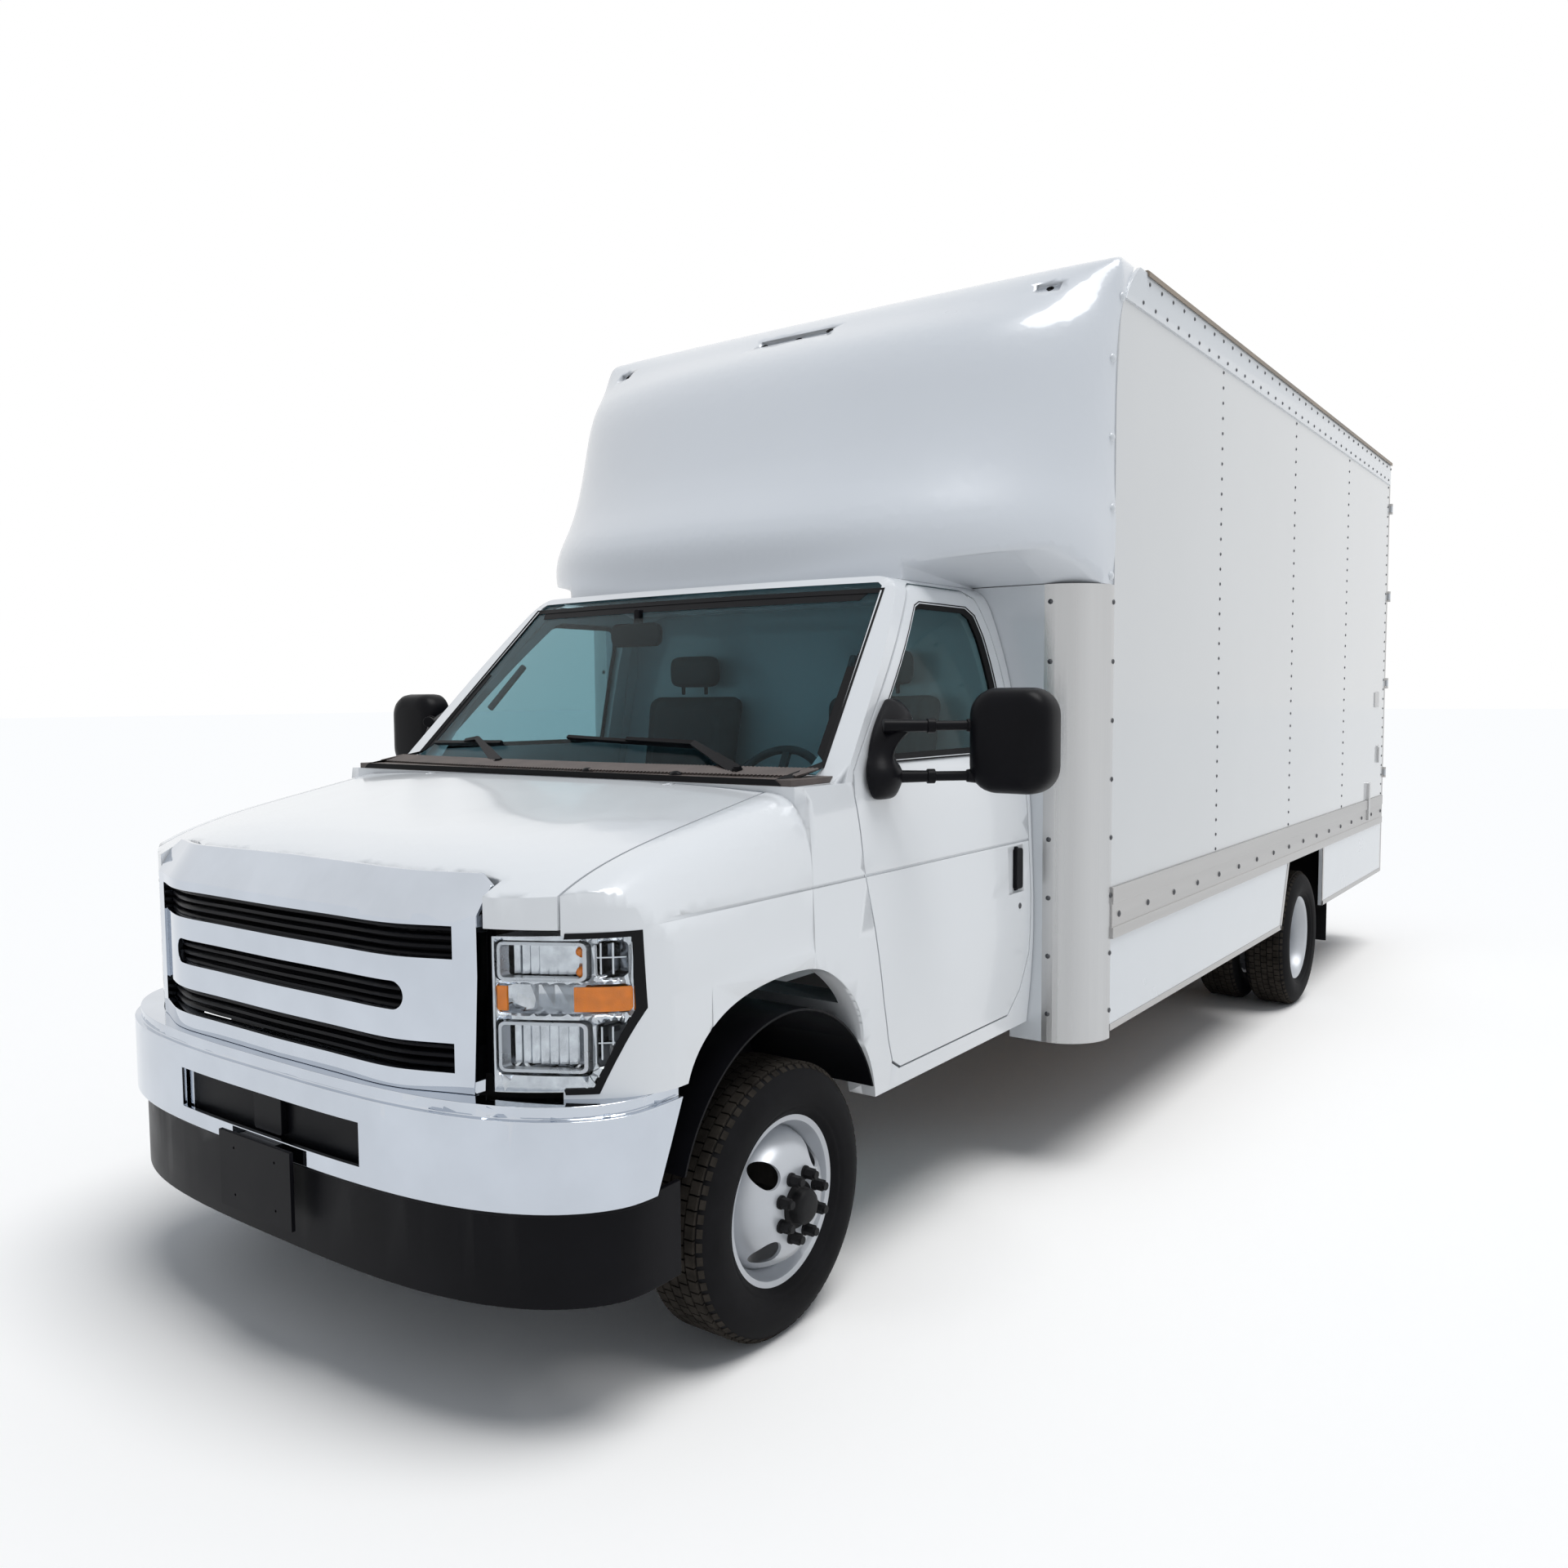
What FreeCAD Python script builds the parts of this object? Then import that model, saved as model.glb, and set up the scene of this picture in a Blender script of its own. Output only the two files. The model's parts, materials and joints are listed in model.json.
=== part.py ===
import FreeCAD, Part
import os
from math import cos, pi, radians, sin, sqrt

V = FreeCAD.Vector
os.makedirs("parts", exist_ok=True)

# A cutaway van with a box body. X points to the driver's side, -Y ahead, Z up.
# Everything is drawn with the front axle at Y zero and moved to mid length when saved.

# Driving dimensions in millimetres
wheelbase = 4470
front_reach = 905
rear_reach = 2180
box_half = 1219
box_floor_z = 980
box_top_z = 3187
box_front_y = 1455
box_rear_y = 6552
cap_top_z = 3240
cab_half = 1007
cab_rear_y = 1450
cab_roof_z = 2062
sill_z = 525
run_gap = 6
fit_gap = 0.3
seat_gap = 0.5
overrun = 400

# Wheels
tyre_radius = 360
tyre_width = 225
tread_half = 84
shoulder_radius = 344
wall_radius = 285
bead_radius = 212
bead_half = 75
rim_flange_radius = 222
rim_flange_half = 84
rim_well_radius = 196
rim_sheet = 9
spindle_clearance = 0.05
front_track_outer = 1988
dual_outer_wall = 1212
dual_spacing = 260
lug_circle_radius = 82
lug_radius = 11
lug_length = 46
lug_count = 8
hand_hole_radius = 33
hand_hole_circle_radius = 142
hand_hole_count = 4

# Frame
rail_outer_x = 432
rail_flange = 70
rail_web = 7
rail_height = 200
rail_z = 560
rail_front_y = -650
rail_rear_y = 6480
cross_width = 60
cross_shares = (0.02, 0.228, 0.36, 0.52, 0.68, 0.84, 0.985)

# Kingpins and steering
kingpin_x = 795
kingpin_radius = 14
kingpin_boss_radius = 34
boss_height = 96
ear_height = 36
ear_radius = 38
spindle_radius = 26
arm_back_y = 165
arm_in_x = 62
aligned_share = 0.9
arm_width = 34
tie_rod_radius = 14
tie_ball_radius = 20
ball_stem_radius = 8
tie_slot_reach = 19
tie_slot_play = 2.5

# Cab skin and glass
cab_wall = 45
fender_sheet = 22
cowl_front_y = 95
cowl_z = 1440
glass_sheet = 6
glass_inset = 8
screen_foot_y = 200
screen_corner_y = 274
screen_foot_half = 885
screen_foot_share = 0.955
screen_rake_y = 545
screen_rake_z = 565
firewall_y = 140
cab_floor_z = 775

mid_y = (wheelbase + rear_reach - front_reach) / 2


def box(x0, x1, y0, y1, z0, z1):
    return Part.makeBox(x1 - x0, y1 - y0, z1 - z0, V(x0, y0, z0))


def face(points):
    return Part.Face(Part.makePolygon(points + [points[0]]))


def prism_x(outline, x0, x1):
    return face([V(x0, y, z) for y, z in outline]).extrude(V(x1 - x0, 0, 0))


def prism_y(outline, y0, y1):
    return face([V(x, y0, z) for x, z in outline]).extrude(V(0, y1 - y0, 0))


def prism_z(outline, z0, z1):
    return face([V(x, y, z0) for x, y in outline]).extrude(V(0, 0, z1 - z0))


def rod_x(radius, x0, x1, y, z):
    return Part.makeCylinder(radius, x1 - x0, V(x0, y, z), V(1, 0, 0))


def rod_y(radius, y0, y1, x, z):
    return Part.makeCylinder(radius, y1 - y0, V(x, y0, z), V(0, 1, 0))


def rod_z(radius, z0, z1, x, y):
    return Part.makeCylinder(radius, z1 - z0, V(x, y, z0), V(0, 0, 1))


def bar(start, end, radius):
    return Part.makeCylinder(radius, (end - start).Length, start, end - start)


def curve(points):
    spline = Part.BSplineCurve()
    spline.interpolate(points)
    return spline.toShape()


def mirrored(shape):
    return shape.mirror(V(0, 0, 0), V(1, 0, 0))


def both(shape):
    return Part.makeCompound([shape, mirrored(shape)])


def fuse(shapes):
    joined = shapes[0]
    if len(shapes) > 1:
        joined = shapes[0].fuse(shapes[1:])
    return joined.removeSplitter()


def save(node, shape):
    placed = shape.copy()
    placed.translate(V(0, -mid_y, 0))
    placed.exportStep("parts/" + node + ".step")
    print(node, len(placed.Solids), placed.isValid(), round(placed.Volume / 1e6, 2))


# Wheels: every shape here is drawn round the X axis at X zero, outer side at +X
def spun(outline):
    wheel_face = face([V(x, 0, r) for x, r in outline])
    return wheel_face.revolve(V(0, 0, 0), V(1, 0, 0), 360)


def tyre():
    half = tyre_width / 2
    shoulder_half = (half + tread_half) / 2
    side = [(bead_half, bead_radius + fit_gap), (half * 0.93, (bead_radius + wall_radius) / 2),
            (half, wall_radius),
            (shoulder_half + (half - shoulder_half) / 2, (shoulder_radius + wall_radius) / 2),
            (tread_half, shoulder_radius + (tyre_radius - shoulder_radius) * 0.5),
            (tread_half * 0.85, tyre_radius)]
    outline = side + [(-x, r) for x, r in reversed(side)]
    return spun(outline)


def rim_barrel():
    half = rim_flange_half
    profile = [(half, rim_flange_radius), (half - rim_sheet, bead_radius),
               (half - 3 * rim_sheet, bead_radius - rim_sheet),
               (half - 5 * rim_sheet, rim_well_radius), (0, rim_well_radius),
               (-half + 3 * rim_sheet, bead_radius - rim_sheet),
               (-half + rim_sheet, bead_radius), (-half, rim_flange_radius)]
    inner = [(x, r - rim_sheet) for x, r in reversed(profile)]
    return spun(profile + inner)


disc_radii_shares = (1.0, 0.86, 0.66, 0.42, 0.13)
disc_height_shares = (0.0, 0.45, 0.93, 1.0, 1.0)
disc_crown = 112


def rim_disc():
    # A pressed disc from the well to the hub, crowned out as far as half the pair's spacing
    reach = rim_well_radius - rim_sheet / 2
    foot = dual_spacing / 2 - disc_crown
    top = [(foot + disc_crown * h, reach * share) for h, share in zip(disc_height_shares, disc_radii_shares)]
    back = [(x - rim_sheet, r) for x, r in reversed(top)]
    return spun(top + back)


def round_holes(shape, radius, circle, count, x0, x1, turn):
    for index in range(count):
        angle = 2 * pi * index / count + turn
        shape = shape.cut(rod_x(radius, x0, x1, circle * cos(angle), circle * sin(angle)))
    return shape


def lugs(x0, length):
    nuts = []
    for index in range(lug_count):
        angle = 2 * pi * (index + 0.5) / lug_count
        y = lug_circle_radius * cos(angle)
        z = lug_circle_radius * sin(angle)
        nuts.append(rod_x(lug_radius, x0, x0 + length, y, z))
    return nuts


hub_radius = 62
hub_back = 70
hub_cap_radius = 44
hub_cap_length = 40
rotor_radius = 160
rotor_sheet = 26


def front_rim():
    disc_x = dual_spacing / 2
    disc = round_holes(rim_disc(), hand_hole_radius, hand_hole_circle_radius, hand_hole_count,
                       -tyre_width, tyre_width, pi / hand_hole_count)
    hub = rod_x(hub_radius, disc_x - hub_back, disc_x, 0, 0)
    cap = rod_x(hub_cap_radius, disc_x - rim_sheet, disc_x + hub_cap_length, 0, 0)
    rotor = rod_x(rotor_radius, disc_x - hub_back, disc_x - hub_back + rotor_sheet, 0, 0)
    wheel = fuse([rim_barrel(), disc, hub, cap, rotor] + lugs(disc_x - rim_sheet, lug_length))
    bore = rod_x(spindle_radius + spindle_clearance, disc_x - hub_back - rim_sheet, disc_x, 0, 0)
    return wheel.cut(bore)


dual_hub_radius = 66
dual_hub_length = 92


def dual_rims():
    # The inner disc stands out to the mid plane and the outer one dishes in to meet it
    half_gap = dual_spacing / 2
    disc = round_holes(rim_disc(), hand_hole_radius, hand_hole_circle_radius, hand_hole_count,
                       -dual_spacing, dual_spacing, pi / hand_hole_count)
    inner = fuse([rim_barrel(), disc])
    inner.translate(V(-half_gap, 0, 0))
    outer = inner.mirror(V(0, 0, 0), V(1, 0, 0))
    hub = rod_x(dual_hub_radius, -half_gap, dual_hub_length, 0, 0)
    wheel = fuse([inner, outer, hub] + lugs(0, lug_length))
    bore = rod_x(spindle_radius + spindle_clearance, -half_gap - rim_sheet, half_gap / 2, 0, 0)
    return wheel.cut(bore)


def dual_tyres():
    inner = tyre()
    inner.translate(V(-dual_spacing / 2, 0, 0))
    outer = tyre()
    outer.translate(V(dual_spacing / 2, 0, 0))
    return Part.makeCompound([inner, outer])


front_wheel_x = (front_track_outer - tyre_width) / 2
dual_mid_x = dual_outer_wall - tyre_width / 2 - dual_spacing / 2


def placed_wheel(shape, x, y):
    wheel = shape.copy()
    wheel.translate(V(x, y, tyre_radius))
    return wheel


def make_wheels():
    for side, flip in (("left", False), ("right", True)):
        pieces = {
            "tyre_front_": placed_wheel(tyre(), front_wheel_x, 0),
            "rim_front_": placed_wheel(front_rim(), front_wheel_x, 0),
            "tyres_rear_": placed_wheel(dual_tyres(), dual_mid_x, wheelbase),
            "rims_rear_": placed_wheel(dual_rims(), dual_mid_x, wheelbase)}
        for node, shape in pieces.items():
            save(node + side, mirrored(shape) if flip else shape)


# Front axle, knuckles and tie rod
boss_low = tyre_radius - boss_height / 2
boss_high = tyre_radius + boss_height / 2
beam_depth = 70
beam_thick = 38
beam_gap = 20
beam_pivot_x = 260
beam_pivot_z = 500
beam_pivot_radius = 24
radius_arm_back_y = 900
radius_arm_radius = 22
radius_arm_x = 540
coil_radius = 52
coil_wire = 16
coil_turns = 5
coil_height = 218
perch_rise = 22
coil_x = 496
yoke_wall = 18
tie_rod_drop = 22


def axle_beam(y0):
    # One beam of the pair: kingpin boss, beam to its pivot past the middle, coil perch and trailing arm
    y1 = y0 + beam_thick
    half = beam_depth / 2
    low = tyre_radius - half
    high = tyre_radius + half
    boss_edge = kingpin_x - kingpin_boss_radius / 2
    outline = [(boss_edge, low), (boss_edge, high), (radius_arm_x, high),
               (-beam_pivot_x, beam_pivot_z + half),
               (-beam_pivot_x - half, beam_pivot_z), (-beam_pivot_x, beam_pivot_z - half),
               (radius_arm_x, low)]
    side = max(abs(y0), abs(y1))
    beam = prism_y(outline, y0, y1)
    boss = rod_z(kingpin_boss_radius, boss_low, boss_high, kingpin_x, 0)
    neck = box(radius_arm_x, boss_edge, -side, side, low, high)
    arm_end_x = rail_outer_x - rail_flange / 2
    arm = bar(V(radius_arm_x + radius_arm_radius, 0, tyre_radius),
              V(arm_end_x, radius_arm_back_y, rail_z - radius_arm_radius), radius_arm_radius)
    hanger = box(rail_outer_x - rail_flange, rail_outer_x, radius_arm_back_y - rail_flange, radius_arm_back_y,
                 rail_z - 2 * radius_arm_radius, rail_z)
    post = box(-beam_pivot_x - beam_pivot_radius, -beam_pivot_x + beam_pivot_radius, y0, y1,
               beam_pivot_z, rail_z + beam_depth)
    perch = rod_z(coil_radius, tyre_radius, high + perch_rise, coil_x, 0)
    piece = fuse([beam, boss, neck, arm, hanger, post, perch])
    return piece.cut(rod_z(kingpin_radius + spindle_clearance, boss_low, boss_high, kingpin_x, 0))


def front_axle():
    left = axle_beam(-beam_gap / 2 - beam_thick)
    right = mirrored(axle_beam(beam_gap / 2))
    return Part.makeCompound([left, right])


def coil_springs():
    # Each coil stands on its beam and ends under the rail's outrigger
    turns = []
    low = tyre_radius + beam_depth / 2 + perch_rise + seat_gap
    for index in range(coil_turns):
        z = low + coil_wire + (coil_height - 2 * coil_wire) * index / (coil_turns - 1)
        ring = Part.makeTorus(coil_radius, coil_wire / 2, V(coil_x, 0, z))
        turns.append(ring)
    core = rod_z(coil_radius - coil_wire / 4, low, low + coil_height, coil_x, 0)
    tower = rod_z(coil_radius + coil_wire / 2, low + coil_height, low + coil_height + coil_wire, coil_x, 0)
    outrigger = box(rail_outer_x, coil_x, -coil_radius, coil_radius, low + coil_height,
                    low + coil_height + coil_wire)
    return both(fuse(turns + [core, tower, outrigger]))


def knuckle():
    # A yoke round the beam's boss, the kingpin, the wheel's spindle and the steering arm
    low = boss_low - seat_gap - ear_height
    high = boss_high + seat_gap + ear_height
    wheel_side = kingpin_x + kingpin_boss_radius + run_gap
    ears = [rod_z(ear_radius, low, low + ear_height, kingpin_x, 0),
            rod_z(ear_radius, high - ear_height, high, kingpin_x, 0)]
    ear_blocks = [box(kingpin_x, wheel_side + yoke_wall, -ear_radius, ear_radius, low, low + ear_height),
                  box(kingpin_x, wheel_side + yoke_wall, -ear_radius, ear_radius, high - ear_height, high)]
    back = box(wheel_side, wheel_side + yoke_wall, -ear_radius, ear_radius, low, high)
    pin = rod_z(kingpin_radius, low, high, kingpin_x, 0)
    spindle = rod_x(spindle_radius, wheel_side, front_wheel_x + dual_spacing / 2 - rim_sheet,
                    0, tyre_radius)
    arm_x = kingpin_x - arm_in_x
    arm = prism_z([(kingpin_x - arm_width / 2, 0), (kingpin_x + arm_width / 2, 0),
                   (arm_x + arm_width / 2, arm_back_y), (arm_x - arm_width / 2, arm_back_y)],
                  low, low + ear_height / 2)
    eye = rod_z(tie_ball_radius, low, low + ear_height / 2, arm_x, arm_back_y)
    stem = rod_z(ball_stem_radius, low - tie_rod_drop - tie_rod_radius, low, arm_x, arm_back_y)
    return fuse(ears + ear_blocks + [back, pin, spindle, arm, eye, stem])


def tie_rod():
    # Its right eye is a slot: the steering arms lean in, so the rod's end slides a little at full lock
    z = boss_low - seat_gap - ear_height - tie_rod_drop
    arm_x = kingpin_x - arm_in_x
    low, high = z - tie_rod_radius, z + tie_rod_radius
    left = rod_z(tie_ball_radius, low, high, arm_x, arm_back_y)
    left_hole = rod_z(ball_stem_radius + spindle_clearance, low, high, arm_x, arm_back_y)
    slot_radius = ball_stem_radius + tie_slot_play
    right = upright_slot(tie_ball_radius, -arm_x - tie_slot_reach, -arm_x, low, high)
    slot = upright_slot(slot_radius, -arm_x - tie_slot_reach, -arm_x, low, high)
    rod = rod_x(tie_rod_radius, -arm_x, arm_x, arm_back_y, z)
    return fuse([rod, left, right]).cut(left_hole).cut(slot)


def upright_slot(radius, x0, x1, z0, z1):
    ends = [rod_z(radius, z0, z1, x, arm_back_y) for x in (x0, x1)]
    return fuse(ends + [box(x0, x1, arm_back_y - radius, arm_back_y + radius, z0, z1)])


# Rear axle, springs and driveline
axle_tube_radius = 55
axle_tube_end = 690
diff_radius = 170
leaf_length = 1180
leaf_width = 76
leaf_sheet = 12
leaf_count = 4
leaf_x = 480
leaf_drop = 70
shaft_radius = 38
shaft_front_y = 900
gearbox_half = 130
engine_half = 255
engine_front_y = -430
engine_rear_y = 60
engine_low_z = 690
gearbox_low_z = 505
engine_top_z = 1080


def rear_axle():
    tube = rod_x(axle_tube_radius, -axle_tube_end, axle_tube_end, wheelbase, tyre_radius)
    stub = rod_x(spindle_radius, -dual_mid_x, dual_mid_x, wheelbase, tyre_radius)
    centre = V(0, wheelbase, tyre_radius)
    bulb = Part.makeSphere(diff_radius, centre)
    bulb.rotate(centre, V(0, 0, 1), 45)
    nose = rod_y(shaft_radius * 2, wheelbase - 2 * diff_radius, wheelbase, 0, tyre_radius)
    shaft = bar(V(0, wheelbase - 2 * diff_radius, tyre_radius), V(0, shaft_front_y, rail_z), shaft_radius)
    return fuse([tube, stub, bulb, nose, shaft])


def leaf_springs():
    # Bowed leaves, the longest hung from eyes under the rail
    low = tyre_radius + axle_tube_radius
    leaves = []
    for index in range(leaf_count):
        half = leaf_length / 2 * (1 - index / (leaf_count + 1))
        rise = leaf_drop * (half / (leaf_length / 2)) ** 2
        z = low + (leaf_count - 1 - index) * leaf_sheet
        edge = curve([V(leaf_x - leaf_width / 2, wheelbase - half, z + rise),
                      V(leaf_x - leaf_width / 2, wheelbase, z),
                      V(leaf_x - leaf_width / 2, wheelbase + half, z + rise)])
        leaves.append(edge.extrude(V(leaf_width, 0, 0)).extrude(V(0, 0, leaf_sheet)))
    hangers = []
    eye_z = low + (leaf_count - 1) * leaf_sheet + leaf_drop
    for y in (wheelbase - leaf_length / 2, wheelbase + leaf_length / 2):
        hangers.append(box(rail_outer_x, leaf_x + leaf_width / 2, y - leaf_width / 2, y + leaf_width / 2,
                           eye_z, rail_z + leaf_width))
    pad = box(leaf_x - leaf_width / 2, leaf_x + leaf_width / 2, wheelbase - axle_tube_radius,
              wheelbase + axle_tube_radius, low - leaf_sheet, low + leaf_count * leaf_sheet)
    pad = pad.cut(rod_x(axle_tube_radius, 0, cab_half, wheelbase, tyre_radius))
    return both(fuse(leaves + hangers + [pad]))


def springs():
    return Part.makeCompound(coil_springs().Solids + leaf_springs().Solids)


def engine_block():
    block = box(-engine_half, engine_half, engine_front_y, engine_rear_y, engine_low_z, engine_top_z)
    foot = box(-rail_outer_x + rail_web, rail_outer_x - rail_web, engine_front_y / 2 - cross_width / 2,
               engine_front_y / 2 + cross_width / 2, engine_low_z, rail_z + rail_height - rail_web)
    gearbox = box(-gearbox_half, gearbox_half, engine_rear_y, shaft_front_y - run_gap,
                  gearbox_low_z, gearbox_low_z + 2 * gearbox_half)
    return fuse([block, foot, gearbox])


# Frame, tank and exhaust
tank_half = 330
tank_front_y = 5230
tank_length = 820
tank_height = 250
tank_round = 60
strap_sheet = 6
pipe_radius = 32
muffler_radius = 95
muffler_front_y = 2050
muffler_length = 620
pipe_x = -290
pipe_z = 470
pipe_front_y = 560
radiator_half = 410
radiator_y = -610
radiator_sheet = 60
radiator_top_z = 1150


def frame_rails():
    length = rail_rear_y - rail_front_y
    z1 = rail_z + rail_height
    web_x = rail_outer_x - rail_web
    flange_x = rail_outer_x - rail_flange
    outline = [(rail_outer_x, rail_z), (rail_outer_x, z1), (flange_x, z1), (flange_x, z1 - rail_web),
               (web_x, z1 - rail_web),
               (web_x, rail_z + rail_web), (flange_x, rail_z + rail_web), (flange_x, rail_z)]
    rail = prism_y(outline, rail_front_y, rail_rear_y)
    pieces = [rail, mirrored(rail)]
    for share in cross_shares:
        y = rail_front_y + length * share
        pieces.append(box(-web_x, web_x, y - cross_width / 2, y + cross_width / 2,
                          z1 - rail_web - cross_width, z1 - rail_web))
    half = beam_gap / 2 + beam_thick
    pieces.append(box(-web_x, web_x, -half, half, rail_z + beam_depth, engine_low_z - run_gap))
    return fuse(pieces)


def fuel_tank():
    top = rail_z
    tank = box(-tank_half, tank_half, tank_front_y, tank_front_y + tank_length, top - tank_height, top)
    tank = tank.makeFillet(tank_round,
                           [e for e in tank.Edges if abs(e.tangentAt(e.FirstParameter).x) > aligned_share])
    straps = []
    for share in (0.25, 0.75):
        y = tank_front_y + tank_length * share
        straps.append(box(-rail_outer_x + rail_web, rail_outer_x - rail_web, y - tank_round / 2,
                          y + tank_round / 2,
                          top - strap_sheet, top))
    return fuse([tank] + straps)


def exhaust():
    front = rod_y(pipe_radius, pipe_front_y, muffler_front_y, pipe_x, pipe_z)
    can = rod_y(muffler_radius, muffler_front_y, muffler_front_y + muffler_length, pipe_x, pipe_z)
    rear_y = wheelbase - diff_radius - muffler_radius
    mid = rod_y(pipe_radius, muffler_front_y, rear_y, pipe_x, pipe_z)
    over_z = rail_z + rail_height / 2
    up = bar(V(pipe_x, rear_y, pipe_z), V(pipe_x, wheelbase - axle_tube_radius, over_z), pipe_radius)
    down = bar(V(pipe_x, wheelbase - axle_tube_radius, over_z),
               V(pipe_x, tank_front_y - muffler_radius, over_z), pipe_radius)
    bends = [Part.makeSphere(pipe_radius, V(pipe_x, rear_y, pipe_z)),
             Part.makeSphere(pipe_radius, V(pipe_x, wheelbase - axle_tube_radius, over_z))]
    hangers = [box(-rail_outer_x, pipe_x, y, y + strap_sheet, pipe_z, rail_z)
               for y in (muffler_front_y + muffler_radius, muffler_front_y + muffler_length - muffler_radius)]
    hooks = [box(-rail_outer_x + rail_web, pipe_x, y, y + strap_sheet, over_z, over_z + pipe_radius)
             for y in (tank_front_y - 2 * muffler_radius,)]
    return fuse([front, can, mid, up, down] + bends + hangers + hooks)


def radiator():
    core = box(-radiator_half, radiator_half, radiator_y, radiator_y + radiator_sheet,
               rail_z + rail_height, radiator_top_z)
    return core


# Cab: side section shares of the half width and of the height from sill to roof
cab_side_shares = ((0.978, 0.0), (0.99, 0.08), (1.0, 0.18), (1.0, 0.31), (0.992, 0.44), (0.975, 0.57),
                   (0.955, 0.63),
                   (0.9, 0.80), (0.84, 0.93), (0.8, 0.98), (0.72, 1.0))
nose_front_y = -800
nose_corner_shares = ((0.0, 1.0), (0.35, 0.985), (0.707, 0.925), (0.845, 0.835), (0.965, 0.7),
                      (0.998, 0.6), (1.0, 0.42))
# Hood line from the nose back: shares of the nose's length, then of the cab's height over the sill
hood_station_shares = (-0.05, 0.10, 0.2, 0.32, 0.5, 0.75, 1.0)
seam_end_share = 0.585
seam_slope_share = 0.106
nose_drop_share = 0.07
crown_end_share = 0.011
crown_front_share = 0.055
crown_flat_width_share = 0.72
crown_flat_rise_share = 0.66
seam_x = 850
shoulder_mid_share = 0.935
cheek_width_share = 0.99
cheek_rise_share = 0.55
shoulder_drop = 34
groove_z = 1173
groove_height = 9
groove_inset = 12
bumper_cut_y = -400
bumper_cut_z = 790
arch_half = 430
arch_foot_z = 480
arch_top_z = 972
# The wheel arch's edge: shares of its half length and of its height, from front to rear
arch_shares = ((-0.991, 0.63), (-0.919, 0.752), (-0.753, 0.876), (-0.372, 0.98), (0, 1), (0.312, 0.959),
               (0.523, 0.854), (0.719, 0.667), (0.784, 0.486), (0.77, 0.368), (0.674, 0.185), (0.651, 0))
well_radius = 440
well_inner_x = 560
well_sheet = 6
well_z = 425


def cab_section(inset, y0, y1):
    height = cab_roof_z - sill_z
    right = [(cab_half * w - inset, sill_z + inset + (height - 2 * inset) * h) for w, h in cab_side_shares]
    side_edge = curve([V(x, y0, z) for x, z in right])
    left_edge = curve([V(-x, y0, z) for x, z in reversed(right)])
    top = Part.makeLine(V(right[-1][0], y0, right[-1][1]), V(-right[-1][0], y0, right[-1][1]))
    foot = Part.makeLine(V(-right[0][0], y0, right[0][1]), V(right[0][0], y0, right[0][1]))
    wire = Part.Wire([side_edge, top, left_edge, foot])
    return Part.Face(wire).extrude(V(0, y1 - y0, 0))


def screen_wedge(shift):
    # Everything ahead of the raked, bowed windshield plane, moved back by the given amount
    z0 = cowl_z
    rise = cab_roof_z - z0 + overrun
    run = rise * screen_rake_y / screen_rake_z
    half = cab_half + overrun / 4
    bow = (screen_corner_y - screen_foot_y) * (half / screen_foot_half) ** 2
    corner = screen_foot_y + bow + shift
    arc = Part.Arc(V(-half, corner, z0), V(0, screen_foot_y + shift, z0), V(half, corner, z0)).toShape()
    ahead = nose_front_y * 2
    lines = [Part.makeLine(V(half, corner, z0), V(half, ahead, z0)),
             Part.makeLine(V(half, ahead, z0), V(-half, ahead, z0)),
             Part.makeLine(V(-half, ahead, z0), V(-half, corner, z0))]
    return Part.Face(Part.Wire([arc] + lines)).extrude(V(0, run, rise))


def cab_block(inset):
    solid = cab_section(inset, cowl_front_y + inset, cab_rear_y)
    return solid.cut(screen_wedge(inset * sqrt(2)))


def hood_rise(station):
    # Height shares of the seam and of the crown at a station along the nose
    ahead = 1 - station
    seam = seam_end_share - seam_slope_share * ahead - nose_drop_share * max(ahead, 0) ** 6
    return seam, seam + crown_end_share + crown_front_share * ahead ** 3


def nose_section(station):
    # Side, shoulder and crown are separate curves, so that each keeps its own bend
    y = nose_front_y + (cowl_front_y - nose_front_y) * station
    height = cab_roof_z - sill_z
    seam_rise, crown_rise = hood_rise(station)
    seam_top = sill_z + height * seam_rise
    crown_top = sill_z + height * crown_rise
    low = [V(cab_half * w, y, sill_z + height * h) for w, h in cab_side_shares[:4]]
    hip = low[-1]
    brow = V(cab_half * shoulder_mid_share, y, seam_top - shoulder_drop)
    cheek = V(cab_half * cheek_width_share, y, hip.z + (seam_top - hip.z) * cheek_rise_share)
    seam = V(seam_x, y, seam_top)

    def side(sign):
        return [curve([V(sign * p.x, p.y, p.z) for p in low]),
                curve([V(sign * p.x, p.y, p.z) for p in (hip, cheek, brow, seam)])]

    right = side(1)
    left = side(-1)
    flat_x = seam_x * crown_flat_width_share
    flat_z = seam_top + (crown_top - seam_top) * crown_flat_rise_share
    crown = curve([seam, V(flat_x, y, flat_z), V(0, y, crown_top), V(-flat_x, y, flat_z),
                   V(-seam.x, y, seam.z)])
    foot = Part.makeLine(V(-low[0].x, y, low[0].z), low[0])
    return Part.Wire([foot] + right + [crown, left[1], left[0]])


def nose_plan():
    right = [V(cab_half * w, nose_front_y * d, 0) for w, d in nose_corner_shares]
    left = [V(-p.x, p.y, 0) for p in reversed(right)]
    rim = curve(left + right[1:])
    back = cowl_front_y + overrun
    half = cab_half + overrun / 4
    corners = [right[-1], V(half, right[-1].y, 0), V(half, back, 0), V(-half, back, 0),
               V(-half, right[-1].y, 0), left[0]]
    lines = [Part.makeLine(p, q) for p, q in zip(corners, corners[1:])]
    return Part.Face(Part.Wire([rim] + lines)).extrude(V(0, 0, cab_roof_z))


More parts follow.
